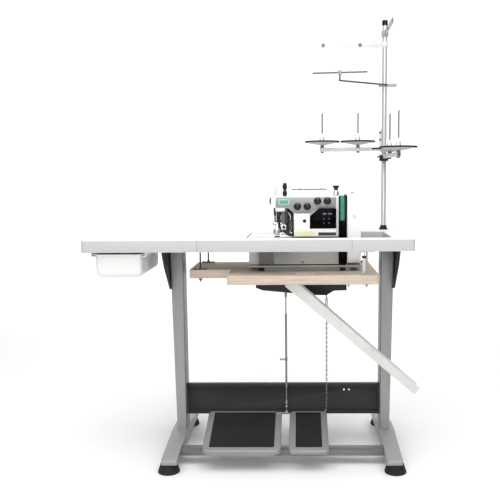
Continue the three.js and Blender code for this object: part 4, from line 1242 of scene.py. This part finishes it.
def build_disc(number, body, arm_top):
    node = f"spool_disc_{number}"
    disc = Box(node)
    radius = (disc.right - disc.left) / 2
    rim = arm_top + (25 if number < 3 else 20)
    centre = (disc.x, disc.y, rim)
    bm = bmesh.new()
    dish = rounded([(7, -12.4), (12, -14.6), (40, -9.6), (radius - 0.4, -3.6), (radius, -1.2),
                    (radius - 0.6, 0), (radius - 3.6, 0), (38, -6.6), (12, -10.4), (7, -10.4)],
                   0.8, 3)
    add_lathe(bm, dish, centre, UP, 96)
    piece_of(node, bm, DISH_SHADED_GREY)
    hub = rounded([(12, -10.6), (11, -2), (9.8, 9), (8.2, 19), (6.4, 26.5), (4, 28.6), (3, 28.8)],
                  1, 3)
    lathe_detail(f"disc_hub_{number}", hub, centre, UP, 40, WHITE_PLASTIC, body, "white_plastic")
    bm = bmesh.new()
    for k in range(4):
        angle = math.radians(25) + k * math.pi / 2
        way = Vector((math.cos(angle), math.sin(angle), 0))
        low, high = Vector(centre) + way * 10.9 - UP * 3, Vector(centre) + way * 8.9 + UP * 15
        add_tube(bm, [low, high], 1.1, 8)
    detail(f"disc_slots_{number}", bm, DARK_LABEL, body, "black_plastic")
    profile = [(radius - 1.5, -5.4), (radius + 0.35, -4.6), (radius + 0.35, -0.2),
               (radius - 1.4, 0.6), (radius - 2.4, -0.4)]
    lathe_detail(f"disc_rim_{number}", profile, centre, UP, 96, RUBBER, body, "rubber", closed=True)
    bm = bmesh.new()
    bottom = arm_top + 0.3 - rim
    add_lathe(bm, rounded([(8, bottom), (8, bottom + 3), (6.5, bottom + 4), (6.5, -14), (9, -12.8)],
                          0.8, 3), centre, UP, 32)
    add_rod(bm, 2.8, (disc.x, disc.y, rim + 26), (disc.x, disc.y, disc.high), 1.2, 20)
    detail(f"disc_pin_{number}", bm, PIN_STEEL, body, "steel")


def build_top_guide(node, body, angle, middle):
    place = arm_frame(angle)
    bm = bmesh.new()
    bar = rectangle(10.5, 244, middle - 11, middle + 11, 4)
    add_placed(bm, place, lambda: add_prism(bm, bar, "xz", -1.3, 1.3, 0.4))
    add_collar(bm, middle - 11, middle + 11, 13, place)
    # The front guide is painted grey where the left guide is white: the grey is painted shade on
    # its faces.
    piece_of(node, bm, ARM_WHITE if node == "top_guide_left" else GUIDE_GREY)

    def add_eyelet(x, outer):
        add_lathe(bm, rounded([(2.6, -2.6), (outer, -2.6), (outer, 2.6), (2.6, 2.6)], 0.8, 2,
                              closed=True), (x, 0, middle), (0, 1, 0), 28, closed=True)

    bm = bmesh.new()
    add_placed(bm, place, lambda: [add_eyelet(x, 6.4) for x in (93, 233)])
    detail(f"{node}_eyelets", bm, MECHANISM_DARK, body, "black_plastic")
    bm = bmesh.new()
    add_placed(bm, place, lambda: add_eyelet(140, 5))
    add_placed(bm, place, lambda: add_rod(bm, 3, (0, 12, middle), (0, 18, middle), 0.8))
    detail(f"{node}_small_eyelet", bm, WHITE_PLASTIC, body, "white_plastic")


def build_middle_guide():
    guide = Box("middle_guide")
    arm, bar = guide.low + 5, guide.high - 8
    end = Vector((295, 48, 0))
    bm = bmesh.new()
    plate = rectangle(POLE.x - 22, POLE.x + 46, POLE.y - 13, POLE.y + 13, 11, 7)
    add_prism(bm, plate, "xy", arm - 5, arm + 5, 1.4, 3)
    start = Vector((POLE.x + 8, POLE.y - 14, arm))
    corner = Vector((end.x, end.y, arm))
    add_tube(bm, smooth_path([start, start.lerp(corner, 0.5), start.lerp(corner, 0.97),
                              corner + Vector((-0.5, -0.5, 2)), Vector((end.x, end.y, arm + 8)),
                              Vector((end.x, end.y, bar))]), 3.2, 14)
    piece_of("middle_guide", bm, WIRE_GREY, paint=[(
        lambda face: face.calc_center_median().x / MM > POLE.x - 24
        and abs(face.calc_center_median().y / MM - POLE.y) < 13.2, GUIDE_GREY)])
    bm = bmesh.new()
    lean, reach = 0.12, 99
    step = Vector((math.cos(lean), -math.sin(lean), 0))
    middle = Vector((end.x, end.y, bar))
    add_rod(bm, 3, middle - step * reach, middle + step * reach, 0.8, 20)
    detail("middle_guide_bar", bm, WIRE_GREY, "thread_bar", "steel")
    lathe_detail("middle_guide_hub", rounded([(3, -8), (6.6, -8), (6.6, 8), (3, 8)], 1.4, 3),
                 middle, UP, 36, GUIDE_GREY, "thread_bar", "white_plastic")


def build_thread_stand():
    build_pole()
    left, front = Box("spool_arm_left"), Box("spool_arm_front")
    build_spool_arm("spool_arm_left", "left_spool_arm", math.pi, left.low + 2, left.low + 17,
                    (1, 2))
    build_spool_arm("spool_arm_front", "front_spool_arm", -1.468, front.high - 16, front.high,
                    (3, 4))
    for node, body, angle in (("top_guide_left", "left_top_guide", math.pi),
                              ("top_guide_front", "front_top_guide", -math.pi / 2)):
        build_top_guide(node, body, angle, Box(node).z)
    build_middle_guide()


# ---------------------------------------------------------------- the whole machine
make_camera()
make_studio()
build_table()
build_stand()
build_board()
build_drawer()
build_pedals()
build_treadle_rod()
build_lift_chain()
build_control_box()
build_chute()
build_castings()
build_bed_details()
build_fascia()
build_display()
build_light_strip()
build_dials()
build_pressure_knob()
build_oil_sight()
build_button()
build_head_top()
build_mechanism()
build_thread_stand()
